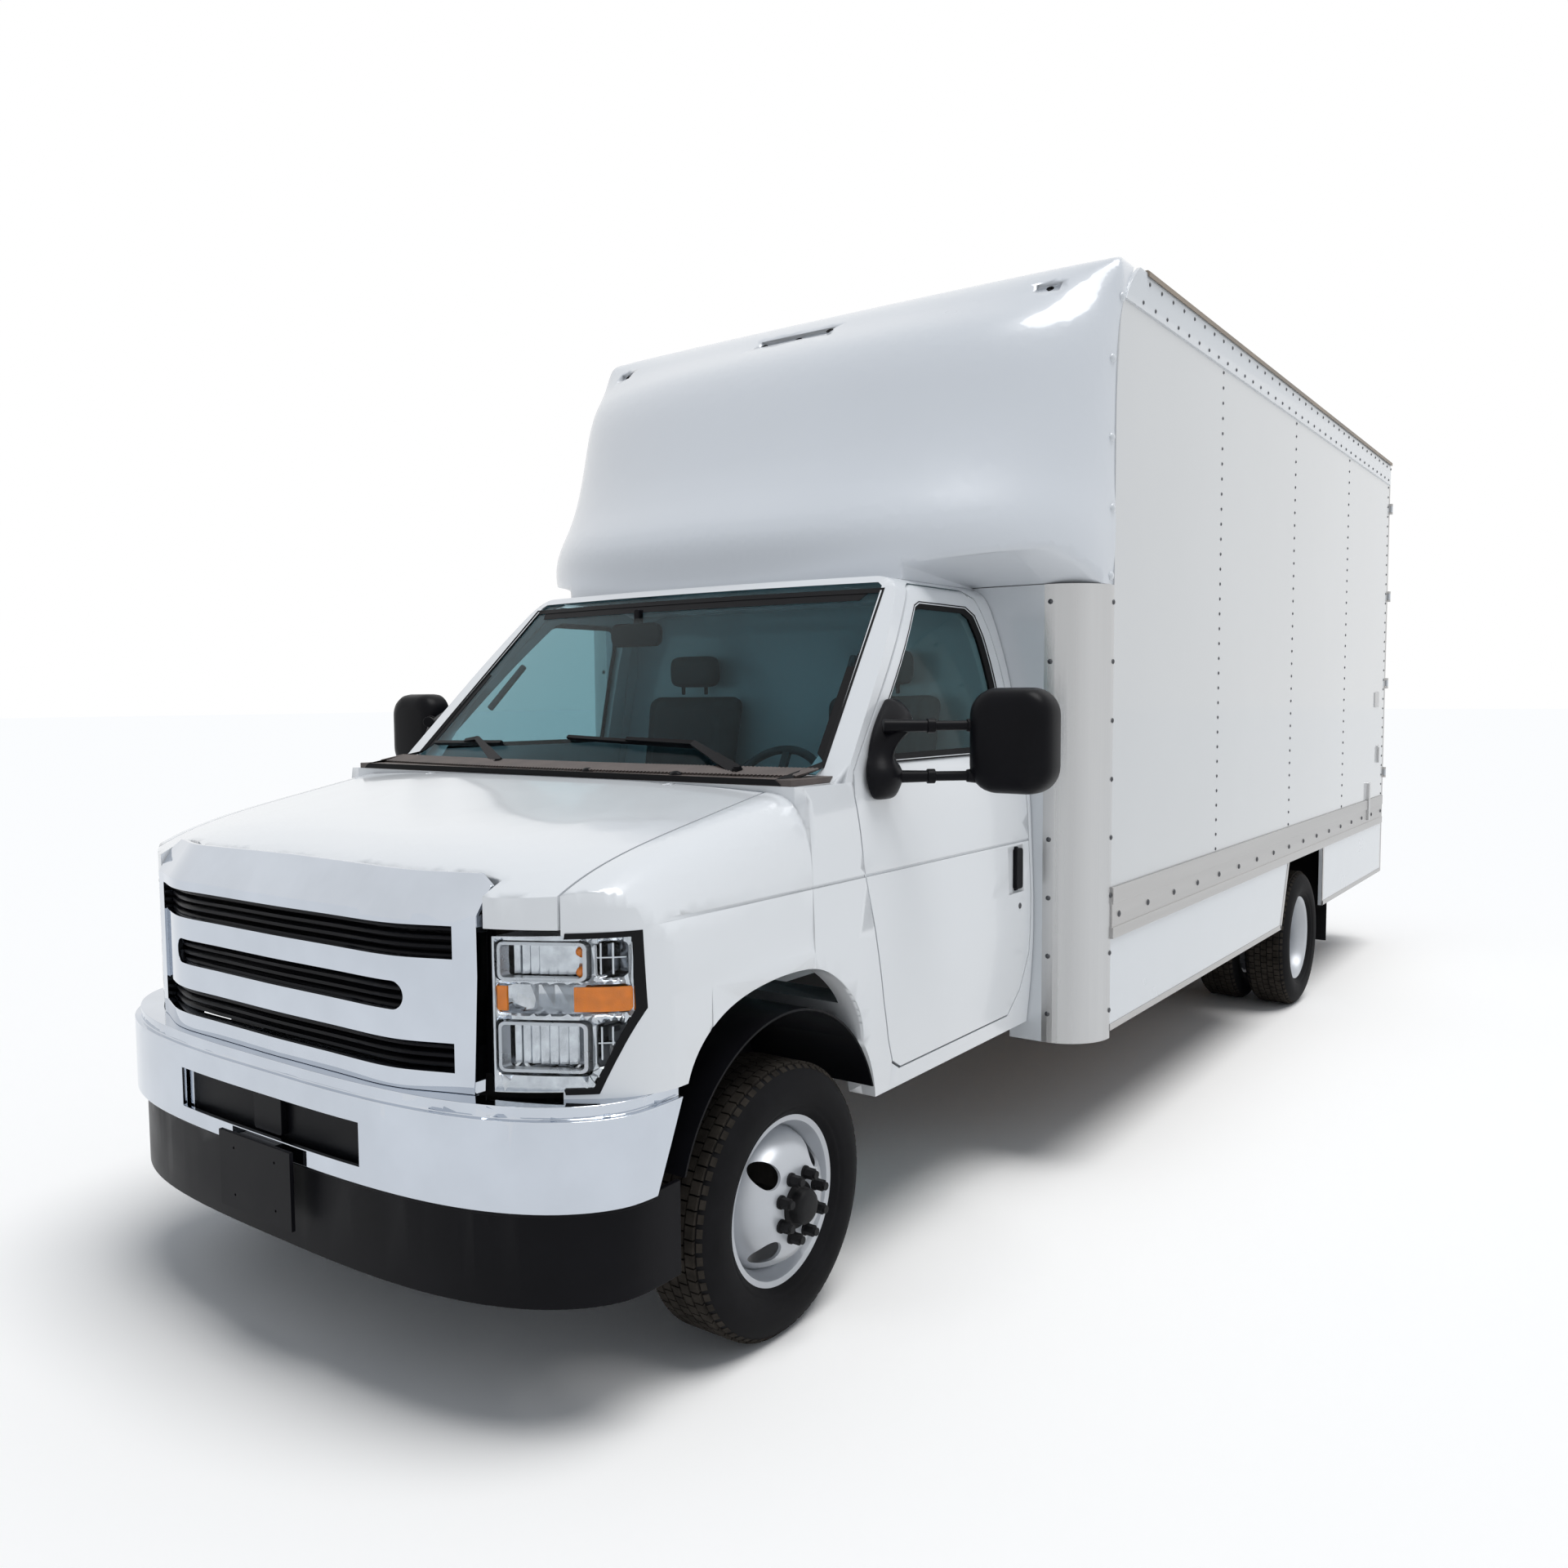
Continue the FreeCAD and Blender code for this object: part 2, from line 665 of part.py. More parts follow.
def nose_block():
    sections = [nose_section(station) for station in hood_station_shares]
    body = Part.makeLoft(sections, True, False)
    return body.common(nose_plan()).Solids[0]


def shrunk_nose(nose, wall):
    # The inner form of the nose: the outer one drawn in by the wall on every outer face
    length = cowl_front_y - nose_front_y
    height = sill_z + (cab_roof_z - sill_z) * hood_rise(1)[1]
    form = FreeCAD.Matrix()
    form.move(V(0, -cowl_front_y, 0))
    form.scale(V(1 - wall / cab_half, 1 - wall / length, 1 - wall / height))
    form.move(V(0, cowl_front_y, 0))
    return nose.transformGeometry(form)


def arch_cut():
    points = [V(0, arch_half * y, arch_foot_z + (arch_top_z - arch_foot_z) * z) for y, z in arch_shares]
    rim = curve(points)
    lines = [Part.makeLine(points[-1], V(0, points[-1].y, 0)),
             Part.makeLine(V(0, points[-1].y, 0), V(0, points[0].y, 0)),
             Part.makeLine(V(0, points[0].y, 0), points[0])]
    cut = Part.Face(Part.Wire([rim] + lines)).extrude(V(cab_half + overrun, 0, 0))
    return both(cut)


def wheel_well(extra):
    # The half round tunnel over a front wheel, open at the side
    tunnel = rod_x(well_radius + extra, well_inner_x - extra, cab_half + overrun, 0, well_z)
    skirt = box(well_inner_x - extra, cab_half + overrun, -well_radius - extra, well_radius + extra, 0,
                well_z)
    return both(tunnel.fuse(skirt))


lamp_outline_shares = ((0.70, 0.0), (0.905, 0.02), (0.972, 0.52), (0.968, 0.99), (0.70, 0.97))
lamp_low_z = 800
lamp_high_z = 1162
lamp_depth = 120
lens_sheet = 3
chamber_depth = 45
bowl_radius = 84
# Chambers of a lamp: shares of its width from the inner side and of its height, low corner then high corner
chamber_shares = ((0.02, 0.11, 0.72, 0.46), (0.745, 0.16, 0.92, 0.45), (0.02, 0.5, 0.95, 0.68),
                  (0.02, 0.70, 0.72, 0.95), (0.745, 0.72, 0.93, 0.95))
chamber_corner = 14
bowl_rows = (0, 3)
hood_rear_gap = 11
hood_axis_y = 77
hood_axis_z = 1430
hood_hinge_x = 520
hood_ear_radius = 7
hood_pin_radius = 4
hood_ear_half = 6
hood_notch_half = 15


def lamp_prism(grow):
    height = lamp_high_z - lamp_low_z
    outline = [(cab_half * w, lamp_low_z + height * h) for w, h in lamp_outline_shares]
    middle_x = sum(x for x, z in outline) / len(outline)
    middle_z = sum(z for x, z in outline) / len(outline)
    grown = [(x + grow * (1 if x > middle_x else -1), z + grow * (1 if z > middle_z else -1))
             for x, z in outline]
    return both(prism_y(grown, nose_front_y - overrun, nose_front_y + overrun))


def hood_zone(gap):
    # The bonnet's own region: between the seams, above the lamps, from the grille's lip to the cowl
    zone = box(-seam_x + gap, seam_x - gap, nose_front_y - overrun, cowl_front_y - hood_rear_gap,
               lamp_high_z + gap, cab_roof_z)
    return zone.cut(grille_space())


door_front_y = 330
door_rear_y = 1440
door_low_z = 585
door_high_z = 2036
# Door and window outlines: shares of the door's length and of its height
door_outline_shares = ((0.207, 0), (0.164, 0.019), (0.134, 0.07), (0.102, 0.152), (0.062, 0.297),
                       (0.02, 0.424),
                       (0, 0.562), (0.014, 0.604), (0.518, 0.99), (0.55, 1), (0.901, 1), (0.957, 0.982),
                       (0.977, 0.906), (0.993, 0.631), (1, 0.276), (0.991, 0.135), (0.942, 0.052), (0.871, 0))
door_window_shares = ((0.11, 0.625), (0.126, 0.651), (0.518, 0.949), (0.55, 0.958), (0.833, 0.958),
                      (0.874, 0.941),
                      (0.89, 0.892), (0.897, 0.782), (0.897, 0.625))
door_draft = 75
door_wall = 45
door_wedge_share = 0.55
door_inner_share = 0.775
screen_outline_shares = ((0.945, 0.03), (0.955, 0.06), (0.83, 0.945), (0.81, 0.965))


def on_door(shares):
    length = door_rear_y - door_front_y
    height = door_high_z - door_low_z
    return [(door_front_y + length * y, door_low_z + height * z) for y, z in shares]


def drafted(outline, grow):
    # A wedge through the cab's side, narrower inside so that the rear edge clears as it swings out
    middle_y = (outline[0][0] + outline[-1][0]) / 2 + (cab_rear_y - firewall_y) / 8
    middle_z = (cab_roof_z + sill_z) / 2

    def ring(x, pull):
        points = []
        for y, z in outline:
            side = 1 if y > middle_y else -1
            level = 1 if z > middle_z else -1
            back = pull if side > 0 else 0
            points.append(V(x, y + grow * side - back, z + grow * level))
        return Part.makePolygon(points + [points[0]])

    wedge = Part.makeLoft([ring(cab_half + overrun / 4, 0),
                           ring(cab_half * door_wedge_share, door_draft)], True, True)
    return wedge


def screen_prism(grow):
    height = cab_roof_z - cowl_z
    right = [(screen_foot_half / screen_foot_share * w + grow, cowl_z + height * h)
             for w, h in screen_outline_shares]
    right = [(x, z + grow * (1 if z > cowl_z + height / 2 else -1)) for x, z in right]
    return prism_y(right + [(-x, z) for x, z in reversed(right)], cowl_front_y,
                   cowl_front_y + screen_rake_y * 2)


def cab_shell():
    skin = cab_block(0)
    cavity = cab_block(cab_wall)
    cavity = cavity.fuse(box(-seam_x, seam_x, cab_rear_y - 2 * cab_wall, cab_rear_y + overrun,
                             cab_floor_z + cab_wall,
                             cab_roof_z - 3 * cab_wall))
    room = cavity.common(box(-cab_half, cab_half, firewall_y, cab_rear_y + overrun,
                             cab_floor_z + cab_wall, cab_roof_z))
    under = box(-cab_half + 2 * cab_wall + fender_sheet, cab_half - 2 * cab_wall - fender_sheet,
                cowl_front_y - overrun,
                cab_rear_y + overrun, 0, cab_floor_z)
    shell = skin.cut(room).cut(under).cut(wheel_well(0)).cut(arch_cut())
    shell = shell.cut(both(drafted(on_door(door_outline_shares), run_gap)))
    shell = shell.cut(screen_prism(0))
    return fuse([shell.cut(fender_zone(seat_gap))] + hood_ears().Solids)


def fender_zone(grow):
    # The fender lies ahead of the door's front shut line, outside the cab's inner wall
    edge = [(y - run_gap + grow, z) for y, z in reversed(on_door(door_outline_shares[1:7]))]
    ahead = nose_front_y - overrun
    outline = edge + [(edge[-1][0], sill_z), (ahead, sill_z - overrun), (ahead, cowl_z), (edge[0][0], cowl_z)]
    return both(prism_x(outline, cab_half - fender_sheet * 3, cab_half + overrun))


def side_groove():
    return both(box(cab_half - groove_inset, cab_half + overrun, nose_front_y, door_rear_y + overrun,
                    groove_z, groove_z + groove_height))


def fenders(nose):
    skin = nose.cut(shrunk_nose(nose, fender_sheet))
    skin = skin.cut(box(-seam_x, seam_x, nose_front_y - overrun, cowl_front_y + overrun, 0, cab_roof_z))
    rear = cab_block(0).common(fender_zone(0))
    piece = skin.fuse(rear).removeSplitter()
    piece = piece.cut(box(-cab_half * 2, cab_half * 2, nose_front_y - overrun, bumper_cut_y, 0, bumper_cut_z))
    return piece.cut(arch_cut()).cut(lamp_prism(seat_gap)).cut(wheel_well(0)).cut(side_groove())


def hood_ears():
    # Fixed ears ahead of the cowl, each with a hole for the bonnet's pin
    ear = box(hood_hinge_x - hood_ear_half, hood_hinge_x + hood_ear_half, hood_axis_y,
              cowl_front_y + fender_sheet,
              hood_axis_z - hood_ear_radius, hood_axis_z + hood_ear_radius)
    tip = rod_x(hood_ear_radius, hood_hinge_x - hood_ear_half, hood_hinge_x + hood_ear_half, hood_axis_y,
                hood_axis_z)
    hole = rod_x(hood_pin_radius + spindle_clearance, 0, cab_half, hood_axis_y, hood_axis_z)
    return both(fuse([ear, tip]).cut(hole))


def hood(nose):
    panel = nose.cut(shrunk_nose(nose, fender_sheet)).common(hood_zone(run_gap))
    notch = box(hood_hinge_x - hood_notch_half, hood_hinge_x + hood_notch_half, hood_axis_y - hood_notch_half,
                cowl_front_y, cowl_z - overrun, cowl_z + overrun)
    pin = rod_x(hood_pin_radius, hood_hinge_x - hood_notch_half - run_gap,
                hood_hinge_x + hood_notch_half + run_gap,
                hood_axis_y, hood_axis_z)
    return fuse([panel.cut(both(notch))] + both(pin).Solids)


def chamber(low_x, low_z, high_x, high_z):
    inner_x = cab_half * lamp_outline_shares[0][0]
    width = cab_half * lamp_outline_shares[2][0] - inner_x
    height = lamp_high_z - lamp_low_z
    block = box(inner_x + width * low_x, inner_x + width * high_x, nose_front_y - overrun,
                nose_front_y + overrun,
                lamp_low_z + height * low_z, lamp_low_z + height * high_z)
    return block.makeFillet(chamber_corner,
                            [e for e in block.Edges if abs(e.tangentAt(e.FirstParameter).y) > aligned_share])


def headlamps(nose):
    # The housing behind the lens, with its chambers and the two round reflector bowls
    skin = shrunk_nose(nose, lens_sheet + seat_gap)
    floor = shrunk_nose(nose, chamber_depth)
    housing = skin.cut(shrunk_nose(nose, lamp_depth)).common(lamp_prism(0))
    for row, corners in enumerate(chamber_shares):
        block = chamber(*corners)
        housing = housing.cut(both(block.cut(floor)))
        if row in bowl_rows:
            middle = block.BoundBox.Center
            front_y = nose_front_y * nose_corner_shares[3][1]
            bowl = Part.makeSphere(bowl_radius, V(middle.x, front_y, middle.z))
            housing = housing.cut(both(bowl.common(block)))
    return housing


def lamp_lenses(nose):
    return nose.cut(shrunk_nose(nose, lens_sheet)).common(lamp_prism(0))


def arch_liners():
    liner = wheel_well(0).cut(wheel_well(-well_sheet))
    keep = box(-cab_half + fender_sheet, cab_half - fender_sheet, -well_radius, well_radius,
               tyre_radius + overrun / 2, cab_roof_z)
    return liner.common(keep)


# Doors and their glass
glass_tuck = 14
handle_y = 1258
handle_length = 116
handle_z = 1003
handle_height = 162
handle_depth = 16


def door_skin():
    block = cab_block(0).cut(cab_block(door_wall))
    right_half = box(0, cab_half + overrun, cowl_front_y, cab_rear_y, sill_z, cab_roof_z)
    return block.common(right_half).common(drafted(on_door(door_outline_shares), 0)).common(
        box(cab_half * door_inner_share, cab_half + overrun, cowl_front_y, cab_rear_y, sill_z, cab_roof_z))


def door():
    skin = door_skin().cut(prism_x(on_door(door_window_shares), 0, cab_half + overrun))
    recess = box(cab_half - handle_depth, cab_half + overrun, handle_y, handle_y + handle_length, handle_z,
                 handle_z + handle_height)
    return skin.cut(recess).cut(side_groove())


def door_glass():
    pane = cab_block(glass_tuck).cut(cab_block(glass_tuck + glass_sheet))
    pane = pane.common(prism_x(on_door(door_window_shares), cab_half * 0.6, cab_half + overrun))
    return pane.common(drafted(on_door(door_outline_shares), 0))


def windshield():
    pane = screen_wedge(glass_inset + glass_sheet * sqrt(2)).cut(screen_wedge(glass_inset))
    return pane.common(screen_prism(0)).common(cab_block(0))


# Mirrors on their two arms
mirror_head_x = 1180
mirror_head_width = 250
mirror_head_low_z = 1400
mirror_head_height = 300
mirror_head_depth = 110
mirror_head_y = 590
mirror_head_round = 38
mirror_head_corner = 72
mirror_foot_y = 384
mirror_foot_length = 82
mirror_foot_low_z = 1392
mirror_foot_height = 240
mirror_foot_sheet = 46
mirror_arm_radius = 15
mirror_arm_drop = 72


def mirror():
    foot_x = cab_half * cab_side_shares[6][0] - mirror_foot_sheet / 2
    foot = box(foot_x, foot_x + mirror_foot_sheet, mirror_foot_y, mirror_foot_y + mirror_foot_length,
               mirror_foot_low_z, mirror_foot_low_z + mirror_foot_height)
    foot = foot.makeFillet(mirror_foot_sheet / 3, [e for e in foot.Edges if e.Vertexes[0].X > foot_x + 1
                                                   and e.Vertexes[1].X > foot_x + 1])
    head = box(mirror_head_x, mirror_head_x + mirror_head_width, mirror_head_y,
               mirror_head_y + mirror_head_depth,
               mirror_head_low_z, mirror_head_low_z + mirror_head_height)
    head = head.makeFillet(mirror_head_corner,
                           [e for e in head.Edges if abs(e.tangentAt(e.FirstParameter).y) > aligned_share])
    rims = [f for f in head.Faces if abs(f.normalAt(0, 0).y) > aligned_share]
    head = head.makeFillet(mirror_head_round, [e for f in rims for e in f.Edges])
    mid_z = mirror_head_low_z + mirror_head_height / 2
    pieces = [foot, head]
    for z in (mid_z - mirror_arm_drop, mid_z + mirror_arm_drop):
        start = V(foot_x + mirror_foot_sheet / 2, mirror_foot_y + mirror_foot_length / 2, z)
        end = V(mirror_head_x + mirror_head_round, mirror_head_y + mirror_head_depth / 2, z)
        pieces.append(bar(start, end, mirror_arm_radius))
    return fuse(pieces).cut(cab_block(0))


# Front trim: bumper, air dam, plate bracket and grille
bumper_low_z = 556
bumper_high_z = 762
bumper_step_z = 790
bumper_sheet = 14
bumper_depth = 70
bumper_arm_share = 0.985
bumper_end_y = -436
bumper_end_low_y = -528
bumper_plan_shares = ((0.0, 1.0), (0.45, 0.985), (0.75, 0.915), (0.92, 0.80), (0.99, 0.68), (1.0, 0.6),
                      (1.0, 0.494))
bumper_front_y = -882
bumper_half = 1000
slot_half = 385
slot_low_z = 598
slot_high_z = 702
dam_low_z = 330
dam_inset = 22
dam_flange = 10
bracket_half = 155
bracket_low_z = 395
bracket_high_z = 590
bracket_sheet = 10
bracket_bolt_x = 178
bracket_bolt_z = 121
bracket_bolt_radius = 3.5
grille_half = 698
grille_foot_half = 666
grille_side_half = 678
grille_ear_half = 682
grille_low_z = bumper_step_z + seat_gap
grille_high_z = 1291
grille_bow = 87
grille_front_y = -842
grille_depth = 34
# Plan of the grille: shares of its half width and of its bow back towards the sides
grille_plan_shares = ((0.0, 0.0), (0.43, 0.05), (0.7, 0.2), (0.86, 0.64), (1.0, 1.0))
# Outline of the frame: shares of its height for the widest place, the lip's fold, the ear and the top corner
frame_wide_share = 0.54
lip_fold_share = 0.81
ear_share = 0.935
top_corner_share = 0.985
top_corner_width_share = 0.917
lip_run = 66
lip_gap = 10
# The hood's edge behind the lip: shares of the half width, of the bow and of the lip's run
lip_back_shares = ((0.0, 0.0, 1.0), (0.42, 0.05, 1.0), (0.69, 0.2, 1.0), (0.85, 0.64, 1.0),
                   (0.905, 0.8, 0.905),
                   (1.0, 1.0, 0.66))
lip_sheet = 12
bar_half = 619
bar_setback = 8
bar_sheet = 18
window_low_z = 836
bar_low_z = 900
slot_bar_low_z = 968
slot_bar_high_z = 1034
bar_high_z = 1094
window_high_z = 1170
bar_slot_half = 487
core_setback = 62
core_sheet = 12
louvre_count = 16
louvre_height = 8


def grille_plan(setback, half):
    # One edge of the grille in plan, carried on straight past its sides
    right = [V(grille_half * x, grille_front_y + setback + grille_bow * y, 0) for x, y in grille_plan_shares]
    end = right[-1]
    slope = (end.y - right[-2].y) / (end.x - right[-2].x)
    right.append(V(half, end.y + slope * (half - end.x), 0))
    left = [V(-p.x, p.y, 0) for p in reversed(right)]
    return curve(left + right[1:]), left[0], right[-1]


def grille_band(setback, depth, half):
    front, left, right = grille_plan(setback, half)
    back, left_back, right_back = grille_plan(setback + depth, half)
    ends = [Part.makeLine(right, right_back), Part.makeLine(left_back, left)]
    return Part.Face(Part.Wire([front, ends[0], back, ends[1]]))


def front_slab(setback, depth):
    # A bowed slab that follows the grille's plan, upright up to the lip's fold
    fold_z = grille_low_z + (grille_high_z - grille_low_z) * lip_fold_share
    return grille_band(setback, depth, grille_half + grille_depth).extrude(V(0, 0, fold_z))


def lip_slab():
    # The chrome lip leans back from the fold to the edge of the hood
    fold_z = grille_low_z + (grille_high_z - grille_low_z) * lip_fold_share
    band = grille_band(0, lip_sheet, grille_half + grille_depth)
    band.translate(V(0, 0, fold_z))
    return band.extrude(V(0, lip_run, grille_high_z - fold_z))


def across(outline):
    return prism_y(outline, nose_front_y - overrun, nose_front_y + overrun)


def grille_space():
    # Everything ahead of the lip's upper edge, down to its ear at each side
    half = grille_ear_half + run_gap
    right = [V(half * x, grille_front_y + lip_sheet + lip_gap + grille_bow * bow + lip_run * run, 0)
             for x, bow, run in lip_back_shares]
    left = [V(-p.x, p.y, 0) for p in reversed(right)]
    ahead = nose_front_y - overrun
    corners = [right[-1], V(half, ahead, 0), V(-half, ahead, 0), left[0]]
    lines = [Part.makeLine(p, q) for p, q in zip(corners, corners[1:])]
    return Part.Face(Part.Wire([curve(left + right[1:])] + lines)).extrude(V(0, 0, cab_roof_z))


def frame_outline():
    height = grille_high_z - grille_low_z
    right = [(grille_foot_half, 0), (grille_side_half, frame_wide_share), (grille_side_half, lip_fold_share),
             (grille_ear_half, ear_share), (grille_half * top_corner_width_share, top_corner_share)]
    right = [(x, grille_low_z + height * share) for x, share in right]
    return right + [(0, grille_high_z)] + [(-x, z) for x, z in reversed(right)]


def bar_slot():
    # The slot between the two bars, round at its ends
    radius = (slot_bar_high_z - slot_bar_low_z) / 2
    y0, y1 = nose_front_y - overrun, nose_front_y + overrun
    mid_z = (slot_bar_low_z + slot_bar_high_z) / 2
    straight = bar_slot_half - radius
    ends = [rod_y(radius, y0, y1, x, mid_z) for x in (-straight, straight)]
    return fuse([box(-straight, straight, y0, y1, slot_bar_low_z, slot_bar_high_z)] + ends)


def grille():
    y0, y1 = nose_front_y - overrun, nose_front_y + overrun
    frame = front_slab(0, grille_depth).fuse(lip_slab()).common(across(frame_outline()))
    frame = frame.cut(box(-bar_half, bar_half, y0, y1, window_low_z, window_high_z))
    bars = front_slab(bar_setback, bar_sheet).common(box(-bar_half, bar_half, y0, y1, bar_low_z, bar_high_z))
    return fuse([frame, bars.cut(bar_slot())])


def grille_core():
    # A back sheet with level louvres that reach the bars
    y0, y1 = nose_front_y - overrun, nose_front_y + overrun
    front = bar_setback + bar_sheet
    sheet = front_slab(core_setback, core_sheet).common(box(-grille_foot_half, grille_foot_half, y0, y1,
                                                            window_low_z - core_sheet,
                                                            window_high_z + core_sheet))
    band = front_slab(front, core_setback - front)
    louvres = []
    for index in range(louvre_count):
        z = window_low_z + (window_high_z - window_low_z) * (index + 0.5) / louvre_count
        slat = box(-bar_half + seat_gap, bar_half - seat_gap, y0, y1, z - louvre_height / 2,
                   z + louvre_height / 2)
        louvres.append(band.common(slat))
    return fuse([sheet] + louvres)


def bumper_region(inset, low, high):
    right = [V((bumper_half - inset) * w, (bumper_front_y + inset) * d, low) for w, d in bumper_plan_shares]
    left = [V(-p.x, p.y, low) for p in reversed(right)]
    rim = curve(left + right[1:])
    return Part.Face(Part.Wire([rim, Part.makeLine(right[-1], left[0])])).extrude(V(0, 0, high - low))


def bumper():
    outer = bumper_region(0, bumper_low_z, bumper_high_z)
    shell = outer.cut(bumper_region(bumper_sheet, bumper_low_z - overrun, bumper_high_z + overrun))
    step = bumper_region(bumper_sheet, bumper_high_z - bumper_sheet, bumper_step_z)
    step = step.cut(bumper_region(bumper_depth, 0, cab_roof_z)).common(
        box(-cab_half, cab_half, bumper_front_y, bumper_end_y, 0, cab_roof_z))
    piece = fuse([shell, step])
    wedge = prism_x([(bumper_end_low_y, bumper_low_z), (bumper_end_y, bumper_high_z), (0, bumper_high_z),
                     (0, bumper_low_z)],
                    -cab_half, cab_half)
    piece = piece.cut(wedge)
    slot = box(-slot_half, slot_half, bumper_front_y - overrun, bumper_front_y + bumper_depth, slot_low_z,
               slot_high_z)
    piece = piece.cut(slot)
    arms = both(box(rail_outer_x - rail_flange, rail_outer_x - rail_web,
                    bumper_front_y * bumper_arm_share + bumper_sheet,
                    rail_front_y, rail_z + rail_web, rail_z + rail_height - rail_web))
    return fuse([piece] + arms.Solids)


def valance():
    outer = bumper_region(dam_inset, dam_low_z, bumper_low_z)
    flange = bumper_region(bumper_sheet + fit_gap, bumper_low_z - bumper_sheet, bumper_low_z + dam_flange)
    flange = flange.common(box(-bumper_half, bumper_half, bumper_front_y, bumper_end_low_y, 0, cab_roof_z))
    return outer.fuse(flange).cut(bumper_region(dam_inset + bumper_sheet, 0, cab_roof_z))


def plate_bracket():
    front = -front_reach
    plate = box(-bracket_half, bracket_half, front, front + bracket_sheet, bracket_low_z, bracket_high_z)
    foot = box(-bracket_half / 2, bracket_half / 2, front, bumper_front_y - fit_gap,
               bumper_low_z + bumper_sheet, bracket_high_z)
    piece = fuse([plate, foot])
    mid_z = (bracket_low_z + bracket_high_z) / 2
    for x in (-bracket_bolt_x / 2, bracket_bolt_x / 2):
        for z in (mid_z - bracket_bolt_z / 2, mid_z + bracket_bolt_z / 2):
            piece = piece.cut(rod_y(bracket_bolt_radius, -front_reach - overrun, -front_reach + overrun,
                                    x, z))
    return piece


# Cowl, wipers, dashboard, wheel and seats
cowl_sheet = 18
cowl_half = 930
wiper_radius = 7
wiper_pivot_x_shares = (-0.347, 0.774)
wiper_blade = 560
wiper_reach_share = 0.9
wiper_rise_share = 0.12
wiper_lift = 9


def cowl_panel():
    plan = box(-cowl_half, cowl_half, cowl_front_y, screen_corner_y + overrun / 4, cowl_z,
               cowl_z + cowl_sheet)
    return plan.common(screen_wedge(0)).cut(screen_wedge(-cowl_front_y / 2 + screen_rake_y).common(
        box(-cowl_half, cowl_half, -overrun, cowl_front_y, 0, cab_roof_z)))


def wiper(pivot_x):
    slope = V(0, screen_rake_y, screen_rake_z).normalize()
    lift = V(0, -slope.z, slope.y) * (wiper_lift + wiper_radius)
    foot = V(pivot_x, screen_foot_y - wiper_lift * 2, cowl_z + cowl_sheet + wiper_radius + seat_gap)
    tip = foot + V(-wiper_blade * wiper_reach_share, 0, 0) + slope * (wiper_blade * wiper_rise_share)
    arm = bar(foot, tip + lift, wiper_radius)
    hub = rod_z(wiper_radius * 2, cowl_z + cowl_sheet, cowl_z + cowl_sheet + wiper_radius * 3, pivot_x,
                foot.y)
    return fuse([arm, hub])


dash_depth = 400
dash_height = 500
dash_outline_shares = ((0, -0.7), (0, 0), (0.4, 0), (1, -0.056), (1.125, -0.19), (1.075, -0.5),
                       (0.825, -0.66))
dash_half = 900
doghouse_half = 235
doghouse_rear_y = 830
doghouse_top_z = 1130
wheel_rim_radius = 196
wheel_rim_thick = 14
wheel_x = 430
wheel_y = 690
wheel_z = 1330
column_radius = 34
column_length = 150
column_tilt = 28
wheel_tilt = 62
wheel_hub_share = 1.6
spoke_start = 90
spoke_count = 3
seat_half = 260
seat_x = 450
seat_foot_share = 0.8
head_thick_share = 0.8
seat_front_y = 850
seat_length = 480
seat_low_z = 960
seat_thick = 130
seat_back_height = 620
seat_back_thick = 125
seat_lean = 110
head_half = 130
head_height = 150


def dashboard():
    outline = [(firewall_y + dash_depth * y, cowl_z - cab_wall / 2 + dash_height * z)
               for y, z in dash_outline_shares]
    dash = prism_x(outline, -dash_half, dash_half)
    dog = box(-doghouse_half, doghouse_half, firewall_y, doghouse_rear_y, cab_floor_z + cab_wall,
              doghouse_top_z)
    dog = dog.makeFillet(cab_wall, [e for e in dog.Edges if min(v.Y for v in e.Vertexes) > firewall_y + 1
                                    and e.BoundBox.ZLength > cab_wall])
    return fuse([dash, dog])


def steering_wheel():
    axis = V(0, -cos(radians(column_tilt)), -sin(radians(column_tilt)))
    centre = V(wheel_x, wheel_y, wheel_z)
    rim = Part.makeTorus(wheel_rim_radius, wheel_rim_thick, V(0, 0, 0), V(0, 0, 1))
    hub = Part.makeCylinder(column_radius * wheel_hub_share, column_radius, V(0, 0, -column_radius / 2))
    spokes = []
    for index in range(spoke_count):
        spoke = box(0, wheel_rim_radius, -wheel_rim_thick, wheel_rim_thick, -wheel_rim_thick / 2,
                    wheel_rim_thick / 2)
        spoke.rotate(V(0, 0, 0), V(0, 0, 1), spoke_start + index * 360 / spoke_count)
        spokes.append(spoke)
    wheel = fuse([rim, hub] + spokes)
    wheel.rotate(V(0, 0, 0), V(1, 0, 0), wheel_tilt)
    wheel.translate(centre)
    column = bar(centre, centre + axis * column_length, column_radius)
    return fuse([wheel, column]).cut(dashboard())


def seats():
    base = box(seat_x - seat_half * seat_foot_share, seat_x + seat_half * seat_foot_share,
               seat_front_y + cab_wall, seat_front_y + seat_length - cab_wall,
               cab_floor_z + cab_wall, seat_low_z)
    cushion = box(seat_x - seat_half, seat_x + seat_half, seat_front_y, seat_front_y + seat_length,
                  seat_low_z, seat_low_z + seat_thick)
    back_y = seat_front_y + seat_length - seat_back_thick
    low = seat_low_z + seat_thick
    high = low + seat_back_height
    back = prism_x([(back_y, low), (back_y + seat_back_thick, low),
                    (back_y + seat_back_thick + seat_lean, high),
                    (back_y + seat_lean, high)], seat_x - seat_half * 0.95, seat_x + seat_half * 0.95)
    head = box(seat_x - head_half, seat_x + head_half, back_y + seat_lean,
               back_y + seat_lean + seat_back_thick * head_thick_share,
               high, high + head_height)
    return both(fuse([base, cushion, back, head]))


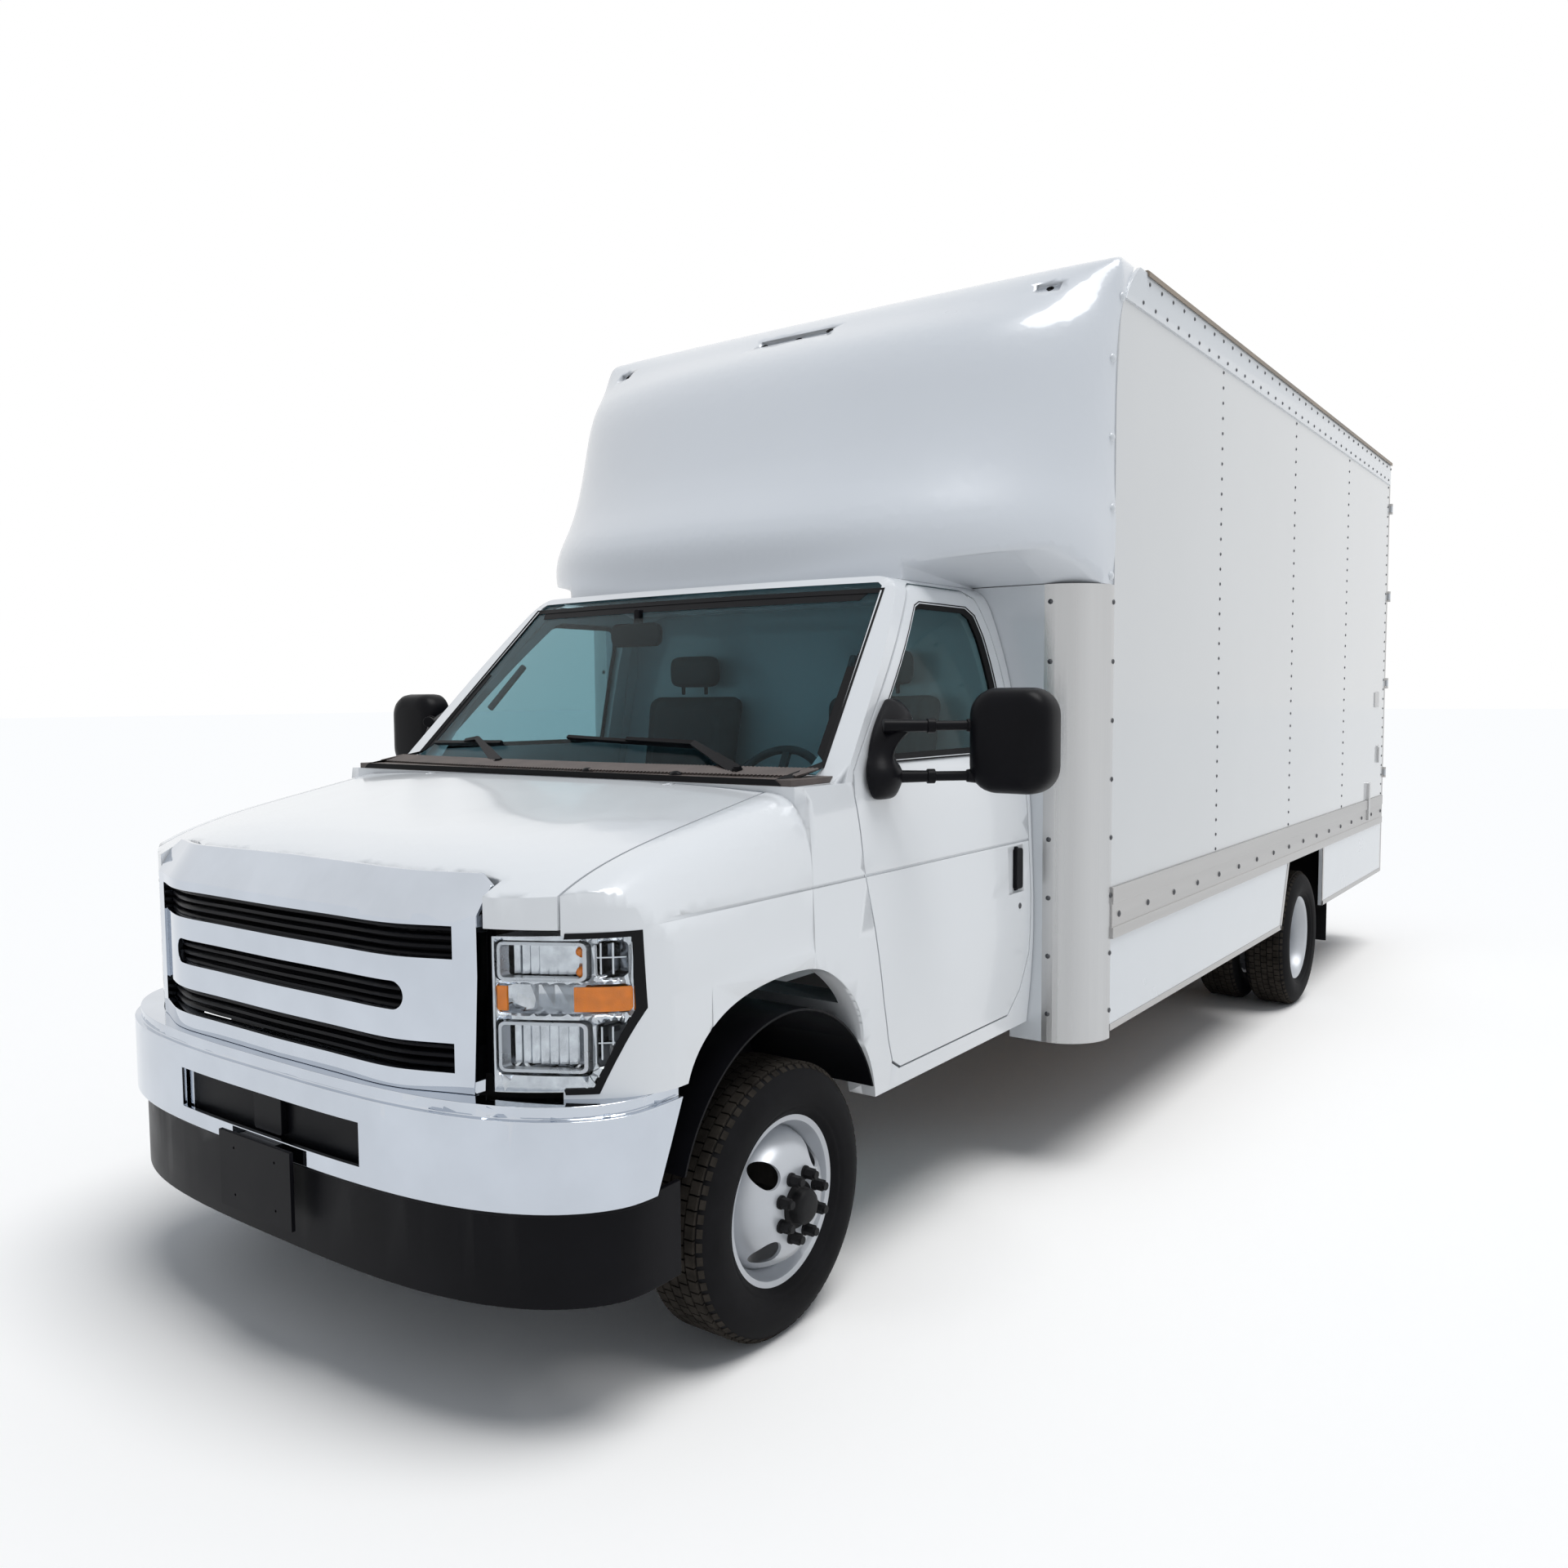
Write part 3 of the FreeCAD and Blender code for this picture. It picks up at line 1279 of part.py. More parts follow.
# Box body
wall_sheet = 25
corner_radius = 180
corner_sheet = 4
corner_low_z = 458
front_wall_sheet = 40
front_wall_top_z = 2060
side_front_y = box_front_y + corner_radius
post_width = 39
post_depth = 40
floor_sheet = 45
cross_rail_height = 115
cross_rail_width = 50
cross_rail_count = 12
rub_low_z = 815
rub_out = 10
rub_out_low = 6
roof_rail_low_z = 3048
roof_rail_out = 8
roof_crown = 38
roof_sheet = 24
skirt_low_z = 484
skirt_sheet = 20
skirt_gap_front_y = 3974
skirt_gap_rear_y = 4855
skirt_slant = 140


def cross_rail_y(index):
    span = box_rear_y - post_depth - box_front_y - front_wall_sheet - cross_rail_width
    return box_front_y + front_wall_sheet + span * index / (cross_rail_count - 1)


def floor_plan(z0, z1):
    # The box's inside plan, with its two round front corners
    half = box_half - wall_sheet
    flat_half = box_half - corner_radius
    rear = box_rear_y - post_depth
    body = box(-half, half, side_front_y, rear, z0, z1)
    front = box(-flat_half, flat_half, box_front_y + front_wall_sheet, side_front_y, z0, z1)
    return fuse([body, front] + both(corner_arc(corner_radius - wall_sheet, z0, z1)).Solids)


def box_floor():
    half = box_half - wall_sheet
    low = box_floor_z - floor_sheet - cross_rail_height
    plan = floor_plan(low, box_floor_z)
    deck = box(-half, half, box_front_y, box_rear_y, box_floor_z - floor_sheet, box_floor_z)
    beams = []
    for index in range(cross_rail_count):
        y = cross_rail_y(index)
        beams.append(box(-half, half, y, y + cross_rail_width, low, box_floor_z - floor_sheet))
    sills = both(box(rail_outer_x - rail_flange, rail_outer_x, box_front_y + front_wall_sheet,
                     box_rear_y - post_depth,
                     rail_z + rail_height, low)).Solids
    return fuse([fuse([deck] + beams).common(plan)] + sills)


def box_sides():
    panel = box(box_half - wall_sheet, box_half, side_front_y, box_rear_y - post_depth, box_floor_z,
                roof_rail_low_z)
    return both(panel.common(seam_prism()))


def box_front_wall():
    flat_half = box_half - corner_radius
    wall = box(-flat_half, flat_half, box_front_y, box_front_y + front_wall_sheet, corner_low_z,
               front_wall_top_z)
    under = box(-cab_half + 2 * cab_wall, cab_half - 2 * cab_wall, box_front_y - overrun,
                box_front_y + overrun, 0,
                rub_low_z)
    return wall.cut(under)


def corner_arc(radius, z0, z1):
    centre_x = box_half - corner_radius
    post = rod_z(radius, z0, z1, centre_x, side_front_y)
    return post.common(box(centre_x, box_half + overrun, box_front_y - overrun, side_front_y, z0, z1))


def corner_posts():
    post = corner_arc(corner_radius, corner_low_z, front_wall_top_z).cut(
        corner_arc(corner_radius - corner_sheet, 0, cap_top_z))
    return both(post)


def roof_profile(drop):
    half = box_half - roof_rail_out
    arc = Part.Arc(V(-half, 0, box_top_z - drop), V(0, 0, box_top_z + roof_crown - drop),
                   V(half, 0, box_top_z - drop))
    return arc.toShape()


def box_roof():
    half = box_half - roof_rail_out
    top = roof_profile(0)
    low = roof_profile(roof_sheet)
    ends = [Part.makeLine(V(x, 0, box_top_z), V(x, 0, box_top_z - roof_sheet)) for x in (half, -half)]
    slab = Part.Face(Part.Wire([top, ends[0], low,
                                ends[1]])).extrude(V(0, box_rear_y - post_depth - cap_seam_y, 0))
    slab.translate(V(0, cap_seam_y, 0))
    return slab


def roof_rails():
    out = box_half + roof_rail_out
    half = box_half - roof_rail_out
    outline = [(box_half - wall_sheet, roof_rail_low_z), (out, roof_rail_low_z), (out, box_top_z),
               (half, box_top_z), (half, box_top_z - roof_sheet),
               (box_half - wall_sheet, box_top_z - roof_sheet)]
    rail = prism_y(outline, side_front_y, box_rear_y - post_depth).common(seam_prism())
    return both(rail)


def rub_rails():
    mid = (rub_low_z + box_floor_z) / 2
    half_band = (box_floor_z - rub_low_z) / 4
    outline = [(box_half - wall_sheet, rub_low_z), (box_half + rub_out, rub_low_z),
               (box_half + rub_out, mid - half_band), (box_half + rub_out_low, mid - half_band),
               (box_half + rub_out_low, mid + half_band), (box_half + rub_out, mid + half_band),
               (box_half + rub_out, box_floor_z + rub_out * 2), (box_half, box_floor_z + rub_out * 2),
               (box_half, box_floor_z), (box_half - wall_sheet, box_floor_z)]
    return both(prism_y(outline, side_front_y, box_rear_y - post_depth))


def skirts():
    x0 = box_half - skirt_sheet
    front = prism_x([(side_front_y, skirt_low_z), (skirt_gap_front_y, skirt_low_z),
                     (skirt_gap_front_y + skirt_slant, rub_low_z),
                     (side_front_y, rub_low_z)], x0, box_half)
    rear = prism_x([(skirt_gap_rear_y, skirt_low_z), (box_rear_y - post_depth, skirt_low_z),
                    (box_rear_y - post_depth, rub_low_z), (skirt_gap_rear_y, rub_low_z)], x0, box_half)
    return Part.makeCompound([front, rear, mirrored(front), mirrored(rear)])


def rear_frame():
    y0 = box_rear_y - post_depth
    outer = box(-box_half, box_half, y0, box_rear_y, skirt_low_z, box_top_z + roof_crown / 2)
    doorway = box(-box_half + post_width, box_half - post_width, y0 - overrun, box_rear_y + overrun,
                  box_floor_z, roof_rail_low_z)
    below = box(-box_half + 2 * post_width, box_half - 2 * post_width, y0 - overrun, box_rear_y + overrun, 0,
                box_floor_z - floor_sheet - cross_rail_height)
    return fuse([outer.cut(doorway).cut(below)] + both(hinge_ears()).Solids)


def hinge_heights():
    low = box_floor_z + run_gap
    high = roof_rail_low_z - run_gap
    return [low + (high - low) * share for share in hinge_shares]


def hinge_ears():
    # Two ears and a pin for each of the left door's hinges
    axis_x = box_half + hinge_axis_out
    axis_y = box_rear_y + hinge_axis_back
    half = hinge_height / 6 + seat_gap
    ears = []
    for z in hinge_heights():
        for low in (z - half - hinge_ear_height, z + half):
            plate = box(box_half - post_width, axis_x, box_rear_y, axis_y, low, low + hinge_ear_height)
            ears.append(fuse([plate, rod_z(hinge_radius, low, low + hinge_ear_height, axis_x, axis_y)]))
        ears.append(rod_z(hinge_pin_radius, z - half - hinge_ear_height, z + half + hinge_ear_height,
                          axis_x, axis_y))
    return fuse(ears)


rear_door_sheet = 35
lock_rod_radius = 12
lock_rod_stand = 10
hinge_axis_out = 7
hinge_axis_back = 14
hinge_radius = 9
hinge_height = 120
hinge_shares = (0.08, 0.37, 0.65, 0.93)
hinge_pin_radius = 4
hinge_ear_height = 14


def rear_door():
    outer_x = box_half - post_width - run_gap
    face_y = box_rear_y - rear_door_gap
    low = box_floor_z + run_gap
    high = roof_rail_low_z - run_gap
    panel = box(run_gap / 2, outer_x, face_y - rear_door_sheet, face_y, low, high)
    rod_x0 = run_gap * 10
    rod = rod_z(lock_rod_radius, low + run_gap, high - run_gap, rod_x0,
                face_y + lock_rod_stand + lock_rod_radius)
    pieces = [panel, rod]
    for z in hinge_heights():
        pieces.append(box(rod_x0 - lock_rod_radius, rod_x0 + lock_rod_radius, face_y,
                          face_y + lock_rod_stand + lock_rod_radius,
                          z - hinge_height / 4, z + hinge_height / 4))
        strap = box(outer_x - hinge_height * 2, box_half + hinge_axis_out, box_rear_y + run_gap,
                    box_rear_y + hinge_axis_back, z - hinge_height / 6, z + hinge_height / 6)
        pad = box(outer_x - hinge_height * 2, outer_x - run_gap, face_y, box_rear_y + hinge_axis_back,
                  z - hinge_height / 6,
                  z + hinge_height / 6)
        knuckle_pin = rod_z(hinge_radius, z - hinge_height / 6, z + hinge_height / 6,
                            box_half + hinge_axis_out,
                            box_rear_y + hinge_axis_back)
        pieces += [strap, pad, knuckle_pin]
    pin = rod_z(hinge_pin_radius + spindle_clearance, low, high, box_half + hinge_axis_out,
                box_rear_y + hinge_axis_back)
    return fuse(pieces).cut(pin)


rear_door_gap = 2
step_half = 1140
step_low_z = 455
step_tread_share = 0.9
step_height = 110
step_front_y = 6570
lamp_rear_radius = 52
lamp_rear_sheet = 22
lamp_rear_x_shares = (0.62, 0.74)
lamp_rear_z = 870
marker_half = 40
marker_height = 22
flap_rail = 8
flap_sheet = 8
flap_low_z = 240


def rear_step():
    rear_y = rear_reach + wheelbase
    tread = box(-step_half, step_half, step_front_y, rear_y, step_low_z, step_low_z + step_height)
    tread = tread.cut(box(-step_half + step_height / 4, step_half - step_height / 4,
                          step_front_y + step_height / 8,
                          rear_y - step_height / 8, 0, step_low_z + step_height * step_tread_share))
    arms = both(box(rail_outer_x - rail_flange, rail_outer_x - rail_web, rail_rear_y,
                    step_front_y + step_height / 8,
                    step_low_z + step_height / 4, rail_z + rail_height)).Solids
    ties = both(box(rail_outer_x - rail_flange, rail_outer_x - rail_web, rail_rear_y - cross_width,
                    rail_rear_y,
                    rail_z + rail_web, rail_z + rail_height - rail_web)).Solids
    return fuse([tread] + arms + ties)


def tail_lamps():
    lamps = []
    for share in lamp_rear_x_shares:
        lamps.append(rod_y(lamp_rear_radius, box_rear_y, box_rear_y + lamp_rear_sheet, box_half * share,
                           lamp_rear_z))
    top_z = (roof_rail_low_z + box_top_z) / 2
    for x in (marker_half * 3, box_half - marker_half * 2):
        lamps.append(box(x - marker_half, x + marker_half, box_rear_y, box_rear_y + marker_height,
                         top_z - marker_height / 2,
                         top_z + marker_height / 2))
    middle = box(-marker_half, marker_half, box_rear_y, box_rear_y + marker_height,
                 top_z - marker_height / 2, top_z + marker_height / 2)
    return Part.makeCompound(lamps + [mirrored(lamp) for lamp in lamps] + [middle])


def mud_flaps():
    width = 2 * (dual_outer_wall - dual_mid_x)
    y = cross_rail_y(flap_rail) - seat_gap
    high = box_floor_z - floor_sheet
    return both(box(dual_outer_wall - width, box_half - wall_sheet - fit_gap, y - flap_sheet, y,
                    flap_low_z, high - fit_gap))


# Front cap: plan sections of the nose over the cab
cap_seam_y = 1880
cap_power = 2.3
cap_sheet = 8
# Heights over the cap's foot, forward reach ahead of the seam and width, all as shares
cap_section_shares = ((0.0, 1.0, 1.0), (0.08, 0.965, 1.0), (0.28, 0.84, 1.0), (0.56, 0.61, 1.0),
                      (0.76, 0.42, 1.0),
                      (0.85, 0.235, 1.0), (0.908, 0.115, 0.998), (0.95, 0.0, 0.988), (0.982, -0.14, 0.962),
                      (1.0, -0.285, 0.92))
cap_foot_z = 2045
cap_reach = 850
cap_brow_depth = 70
cap_header_half = 762
soffit_inner_y = 955
soffit_inner_z = 2109
soffit_middle_y = 1200
soffit_middle_z = 2150
soffit_outer_y = 1500
soffit_outer_z = 2190
soffit_back_z = 2062
cap_edge_shares = ((0.0, 0.55), (0.06, 0.75), (0.25, 0.88), (0.6, 0.97), (1.0, 1.02))
plan_steps = 12
recess_z = 3063
side_recess_z = 3092
recess_height = 38
recess_depth = 12
recess_half = 175
side_recess_x = 995
side_recess_half = 45
wire_hole_x = 165
wire_hole_radius = 9


def cap_section(z, reach, width, inset):
    half = box_half * width - inset
    front_y = side_front_y - reach + inset
    depth = max(reach, 0) + cap_brow_depth - inset
    points = []
    for index in range(-plan_steps, plan_steps + 1):
        angle = pi / 2 * index / plan_steps
        x = half * (abs(sin(angle)) ** (2 / cap_power)) * (1 if angle > 0 else -1)
        y = front_y + depth * (1 - abs(cos(angle)) ** (2 / cap_power))
        points.append(V(x, y, z))
    rim = curve(points)
    back_y = cap_seam_y + overrun
    corners = [points[-1], V(half, back_y, z), V(-half, back_y, z), points[0]]
    lines = [Part.makeLine(p, q) for p, q in zip(corners, corners[1:])]
    return Part.Wire([rim] + lines)


def cap_form(inset):
    height = cap_top_z - cap_foot_z
    sections = [cap_section(cap_foot_z + height * h - inset * (h > 0.5), cap_reach * r, w, inset)
                for h, r, w in cap_section_shares]
    return Part.makeLoft(sections, True, False)


def seam_prism():
    # All that lies behind the cap's rear edge, which runs up the side and curves back under the roof
    edge = [(side_front_y + (cap_seam_y - side_front_y) * back, cap_foot_z + (box_top_z - cap_foot_z) * h)
            for back, h in cap_edge_shares]
    rim = curve([V(-box_half * 2, y, z) for y, z in edge])
    start = V(-box_half * 2, side_front_y, 0)
    far = box_rear_y + overrun
    corners = [rim.Vertexes[-1].Point, V(start.x, cap_seam_y, cap_top_z * 2), V(start.x, far, cap_top_z * 2),
               V(start.x, far, 0), start, rim.Vertexes[0].Point]
    lines = [Part.makeLine(p, q) for p, q in zip(corners, corners[1:])]
    return Part.Face(Part.Wire([rim] + lines)).extrude(V(box_half * 4, 0, 0))


def soffit_cutter(drop):
    # Below the shelf on one side of the header: drawn at the header and at the outer wall
    def ring(x, lip_y, lip_z, back_y):
        far = side_front_y - cap_reach - overrun
        low = corner_low_z
        return Part.makePolygon([V(x, far, low), V(x, far, lip_z - drop), V(x, lip_y, lip_z - drop),
                                 V(x, back_y, soffit_back_z - drop), V(x, back_y, low), V(x, far, low)])

    start = ring(cap_header_half + drop, soffit_inner_y, soffit_inner_z, box_front_y)
    middle = ring(box_half - corner_radius, soffit_middle_y, soffit_middle_z, box_front_y)
    end = ring(box_half + overrun / 4, soffit_outer_y, soffit_outer_z, side_front_y)
    return both(Part.makeLoft([start, middle, end], True, True))


def lamp_recesses(grow):
    # Shallow pans for marker lamps: a long one in the middle and a short one at each side
    half_height = recess_height / 2 + grow
    pans = []
    for x, half, z in ((0, recess_half, recess_z), (-side_recess_x, side_recess_half, side_recess_z),
                       (side_recess_x, side_recess_half, side_recess_z)):
        pans.append(box(x - half - grow, x + half + grow, side_front_y - cap_reach - overrun, cap_seam_y,
                        z - half_height, z + half_height))
    return Part.makeCompound(pans).cut(cap_form(recess_depth + grow))


def front_cap():
    outer = cap_form(0).cut(soffit_cutter(0)).cut(lamp_recesses(0))
    inner = cap_form(cap_sheet).cut(soffit_cutter(-cap_sheet)).cut(lamp_recesses(cap_sheet))
    inner = inner.common(box(-box_half, box_half, 0, cap_seam_y + 2 * overrun, cap_foot_z + cap_sheet,
                             cap_top_z))
    shell = outer.cut(inner)
    wires = [(x, recess_z) for x in (-wire_hole_x, 0, wire_hole_x)]
    for x, z in wires + [(-side_recess_x, side_recess_z), (side_recess_x, side_recess_z)]:
        shell = shell.cut(rod_y(wire_hole_radius, side_front_y - cap_reach, cap_seam_y, x, z))
    wall_space = box(-box_half, box_half, box_front_y - seat_gap, cap_seam_y + overrun, 0,
                     front_wall_top_z + seat_gap)
    return shell.cut(seam_prism()).cut(cab_block(-fit_gap)).cut(wall_space)


def make_vehicle():
    make_wheels()
    nose = nose_block()
    solids = {
        "front_axle": front_axle, "springs": springs, "rear_axle": rear_axle, "box_sides": box_sides,
        "engine_block": engine_block, "frame_rails": frame_rails, "fuel_tank": fuel_tank, "exhaust": exhaust,
        "radiator": radiator, "tie_rod": tie_rod, "cab_shell": cab_shell, "arch_liners": arch_liners,
        "windshield": windshield, "cowl_panel": cowl_panel, "dashboard": dashboard,
        "steering_wheel": steering_wheel, "seats": seats, "grille": grille, "grille_core": grille_core,
        "bumper_front": bumper, "valance": valance, "plate_bracket": plate_bracket, "box_floor": box_floor,
        "box_front_wall": box_front_wall, "corner_posts": corner_posts, "box_roof": box_roof,
        "roof_rails": roof_rails, "rub_rails": rub_rails, "skirts": skirts, "rear_frame": rear_frame,
        "rear_step": rear_step, "tail_lamps": tail_lamps, "mud_flaps": mud_flaps, "front_cap": front_cap}
    for node, maker in solids.items():
        save(node, maker())
    save("fenders", fenders(nose))
    save("hood", hood(nose))
    save("headlamps", headlamps(nose))
    save("lamp_lenses", lamp_lenses(nose))
    save("wipers", Part.makeCompound([wiper(screen_foot_half * share) for share in wiper_pivot_x_shares]))
    pairs = {"knuckle_": knuckle, "door_": door, "door_glass_": door_glass,
             "mirror_": mirror, "rear_door_": rear_door}
    for node, maker in pairs.items():
        shape = maker()
        save(node + "left", shape)
        save(node + "right", mirrored(shape))


make_vehicle()
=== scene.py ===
import json
from math import cos, pi, radians, sin

import bmesh
import bpy
from mathutils import Matrix, Vector
from mathutils.bvhtree import BVHTree


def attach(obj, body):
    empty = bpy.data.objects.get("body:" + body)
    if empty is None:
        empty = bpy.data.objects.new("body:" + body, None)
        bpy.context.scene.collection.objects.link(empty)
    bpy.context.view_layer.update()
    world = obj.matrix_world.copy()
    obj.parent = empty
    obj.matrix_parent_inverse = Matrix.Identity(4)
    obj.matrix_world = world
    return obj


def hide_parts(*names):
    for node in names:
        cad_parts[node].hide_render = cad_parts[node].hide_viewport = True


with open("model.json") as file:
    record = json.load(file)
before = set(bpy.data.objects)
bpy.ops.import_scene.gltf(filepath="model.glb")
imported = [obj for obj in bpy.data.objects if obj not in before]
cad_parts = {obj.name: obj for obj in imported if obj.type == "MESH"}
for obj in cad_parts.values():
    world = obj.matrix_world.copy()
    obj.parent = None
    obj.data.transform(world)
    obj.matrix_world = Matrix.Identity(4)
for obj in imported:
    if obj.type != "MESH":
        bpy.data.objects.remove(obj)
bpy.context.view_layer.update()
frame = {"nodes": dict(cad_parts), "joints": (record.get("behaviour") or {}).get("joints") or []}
joints = {joint["name"]: joint for joint in frame["joints"]}
frontAxleY = joints["roll_front_left"]["pos_m"][1]
rearAxleY = joints["roll_rear_left"]["pos_m"][1]
print("frame loaded")


def inScene(name, data):
    made = bpy.data.objects.new(name, data)
    bpy.context.scene.collection.objects.link(made)
    return made


# camera and light

cameraSettings = {"x": 2.8312, "aheadOfAxle": 2.5706, "height": 1.6748, "azimuth": 35.814, "pitch": 3.959,
                  "roll": 0.383, "lens": 28.508, "sensor": 36.0, "reach": 200}


def placeCamera():
    s = cameraSettings
    azimuth, pitch, roll = radians(s["azimuth"]), radians(s["pitch"]), radians(s["roll"])
    back = Vector((sin(azimuth) * cos(pitch), -cos(azimuth) * cos(pitch), sin(pitch)))
    right = (-back).cross(Vector((0, 0, 1))).normalized()
    down = (-back).cross(right)
    across = right * cos(roll) + down * sin(roll)
    upward = right * sin(roll) - down * cos(roll)
    data = bpy.data.cameras.new("photoCamera")
    data.sensor_width, data.lens, data.clip_end = s["sensor"], s["lens"], s["reach"]
    camera = inScene("photoCamera", data)
    turn = Matrix((across, upward, back)).transposed().to_4x4()
    place = Vector((s["x"], frontAxleY - s["aheadOfAxle"], s["height"]))
    camera.matrix_world = Matrix.Translation(place) @ turn
    bpy.context.scene.camera = camera


lightSettings = {"skyColour": (0.84, 0.91, 1.0), "skyStrength": 0.42, "sunStrength": 2.0, "sunSpread": 34,
                 "sunFrom": (0.42, 0.08, 1.5), "floorColour": (1.0, 0.985, 0.965), "floorSize": 300,
                 "floorPatches": 3, "floorRoughness": (0.9, 1.0)}


def buildWorld():
    s = lightSettings
    world = bpy.data.worlds.new("paleSky")
    bpy.context.scene.world = world
    world.use_nodes = True
    nodes, links = world.node_tree.nodes, world.node_tree.links
    nodes.clear()
    path = nodes.new("ShaderNodeLightPath")
    seen = path.outputs["Is Camera Ray"]
    for ray in ("Is Glossy Ray", "Is Transmission Ray"):
        either = nodes.new("ShaderNodeMath")
        either.operation, either.use_clamp = "ADD", True
        links.new(seen, either.inputs[0])
        links.new(path.outputs[ray], either.inputs[1])
        seen = either.outputs[0]
    mix, out = nodes.new("ShaderNodeMixShader"), nodes.new("ShaderNodeOutputWorld")
    links.new(seen, mix.inputs[0])
    for place, colour, strength in ((1, s["skyColour"], s["skyStrength"]), (2, (1, 1, 1), 1)):
        background = nodes.new("ShaderNodeBackground")
        background.inputs["Color"].default_value = (*colour, 1)
        background.inputs["Strength"].default_value = strength
        links.new(background.outputs[0], mix.inputs[place])
    links.new(mix.outputs[0], out.inputs[0])
    sunData = bpy.data.lights.new("softSun", "SUN")
    sunData.energy, sunData.angle = s["sunStrength"], radians(s["sunSpread"])
    sun = inScene("softSun", sunData)
    sun.rotation_mode = "QUATERNION"
    sun.rotation_quaternion = Vector(s["sunFrom"]).to_track_quat("Z", "Y")


def buildFloor():
    s = lightSettings
    mesh = bpy.data.meshes.new("floor")
    h = s["floorSize"] / 2
    mesh.from_pydata([(-h, -h, 0), (h, -h, 0), (h, h, 0), (-h, h, 0)], [], [(0, 1, 2, 3)])
    floor = inScene("floor", mesh)
    mat = bpy.data.materials.new("floorPaper")
    mat.use_nodes = True
    nodes, links = mat.node_tree.nodes, mat.node_tree.links
    shader = nodes["Principled BSDF"]
    noise = nodes.new("ShaderNodeTexNoise")
    noise.inputs["Scale"].default_value = s["floorPatches"]
    ramp = nodes.new("ShaderNodeMapRange")
    ramp.inputs["To Min"].default_value, ramp.inputs["To Max"].default_value = s["floorRoughness"]
    links.new(noise.outputs["Fac"], ramp.inputs["Value"])
    links.new(ramp.outputs["Result"], shader.inputs["Roughness"])
    shader.inputs["Base Color"].default_value = (*s["floorColour"], 1)
    shader.inputs["Specular IOR Level"].default_value = 0
    mesh.materials.append(mat)


placeCamera()
buildWorld()
buildFloor()
bpy.context.scene.view_settings.view_transform = "Standard"
print("camera, sky and floor ready")

# materials


def newMaterial(name, colour, roughness, metallic=0.0):
    mat = bpy.data.materials.new(name)
    mat.use_nodes = True
    shader = mat.node_tree.nodes["Principled BSDF"]
    shader.inputs["Base Color"].default_value = (*colour, 1)
    shader.inputs["Roughness"].default_value = roughness
    shader.inputs["Metallic"].default_value = metallic
    return mat, shader


def noiseOn(mat, scale, detail=3.0, stretch=(1, 1, 1)):
    nodes, links = mat.node_tree.nodes, mat.node_tree.links
    place = nodes.new("ShaderNodeTexCoord")
    mapping = nodes.new("ShaderNodeMapping")
    mapping.inputs["Scale"].default_value = stretch
    noise = nodes.new("ShaderNodeTexNoise")
    noise.inputs["Scale"].default_value = scale
    noise.inputs["Detail"].default_value = detail
    links.new(place.outputs["Object"], mapping.inputs["Vector"])
    links.new(mapping.outputs["Vector"], noise.inputs["Vector"])
    return noise.outputs["Fac"]


def spread(mat, value, low, high, fromLow=0.3, fromHigh=0.7):
    ramp = mat.node_tree.nodes.new("ShaderNodeMapRange")
    for name, number in (("From Min", fromLow), ("From Max", fromHigh), ("To Min", low), ("To Max", high)):
        ramp.inputs[name].default_value = number
    mat.node_tree.links.new(value, ramp.inputs["Value"])
    return ramp.outputs["Result"]


def tint(mat, value, first, second):
    mix = mat.node_tree.nodes.new("ShaderNodeMix")
    mix.data_type = "RGBA"
    mix.inputs[6].default_value = (*first, 1)
    mix.inputs[7].default_value = (*second, 1)
    mat.node_tree.links.new(value, mix.inputs[0])
    return mix.outputs[2]


def addBump(mat, shader, value, strength, distance):
    bump = mat.node_tree.nodes.new("ShaderNodeBump")
    bump.inputs["Strength"].default_value = strength
    bump.inputs["Distance"].default_value = distance
    mat.node_tree.links.new(value, bump.inputs["Height"])
    mat.node_tree.links.new(bump.outputs["Normal"], shader.inputs["Normal"])


finishSettings = {"patchDetail": 4.0, "grainDetail": 2.0, "grainDepth": 0.001, "leastRoughness": 0.02,
                  "roughChange": 0.05, "paintChange": 0.015, "paintPatches": 1.2, "paintRoughChange": 0.03,
                  "coat": 0.6, "coatRoughness": 0.06, "glassBend": 1.15, "glassPatches": 4,
                  "glassRoughness": 0.02, "glassChange": 0.01, "dullSpecular": 0.08}


def variedMaterial(name, colour, roughness, metallic=0.0, change=0.06, scale=6.0, grain=0.0, grainScale=400.0,
                   stretch=(1, 1, 1), *, roughChange):
    # base colour and gloss wander a little, and a fine grain lifts the surface where asked
    s = finishSettings
    mat, shader = newMaterial(name, colour, roughness, metallic)
    links = mat.node_tree.links
    patches = noiseOn(mat, scale, s["patchDetail"], stretch)
    darker = tuple(c * (1 - change) for c in colour)
    lighter = tuple(min(1.0, c * (1 + change)) for c in colour)
    links.new(tint(mat, spread(mat, patches, 0, 1), darker, lighter), shader.inputs["Base Color"])
    lowest, highest = max(s["leastRoughness"], roughness - roughChange), min(1.0, roughness + roughChange)
    links.new(spread(mat, patches, lowest, highest), shader.inputs["Roughness"])
    if grain > 0:
        addBump(mat, shader, noiseOn(mat, grainScale, s["grainDetail"], stretch), grain, s["grainDepth"])
    return mat, shader


def paint(name, colour, roughness):
    s = finishSettings
    mat, shader = variedMaterial(name, colour, roughness, change=s["paintChange"], scale=s["paintPatches"],
                                 roughChange=s["paintRoughChange"])
    shader.inputs["Coat Weight"].default_value = s["coat"]
    shader.inputs["Coat Roughness"].default_value = s["coatRoughness"]
    return mat


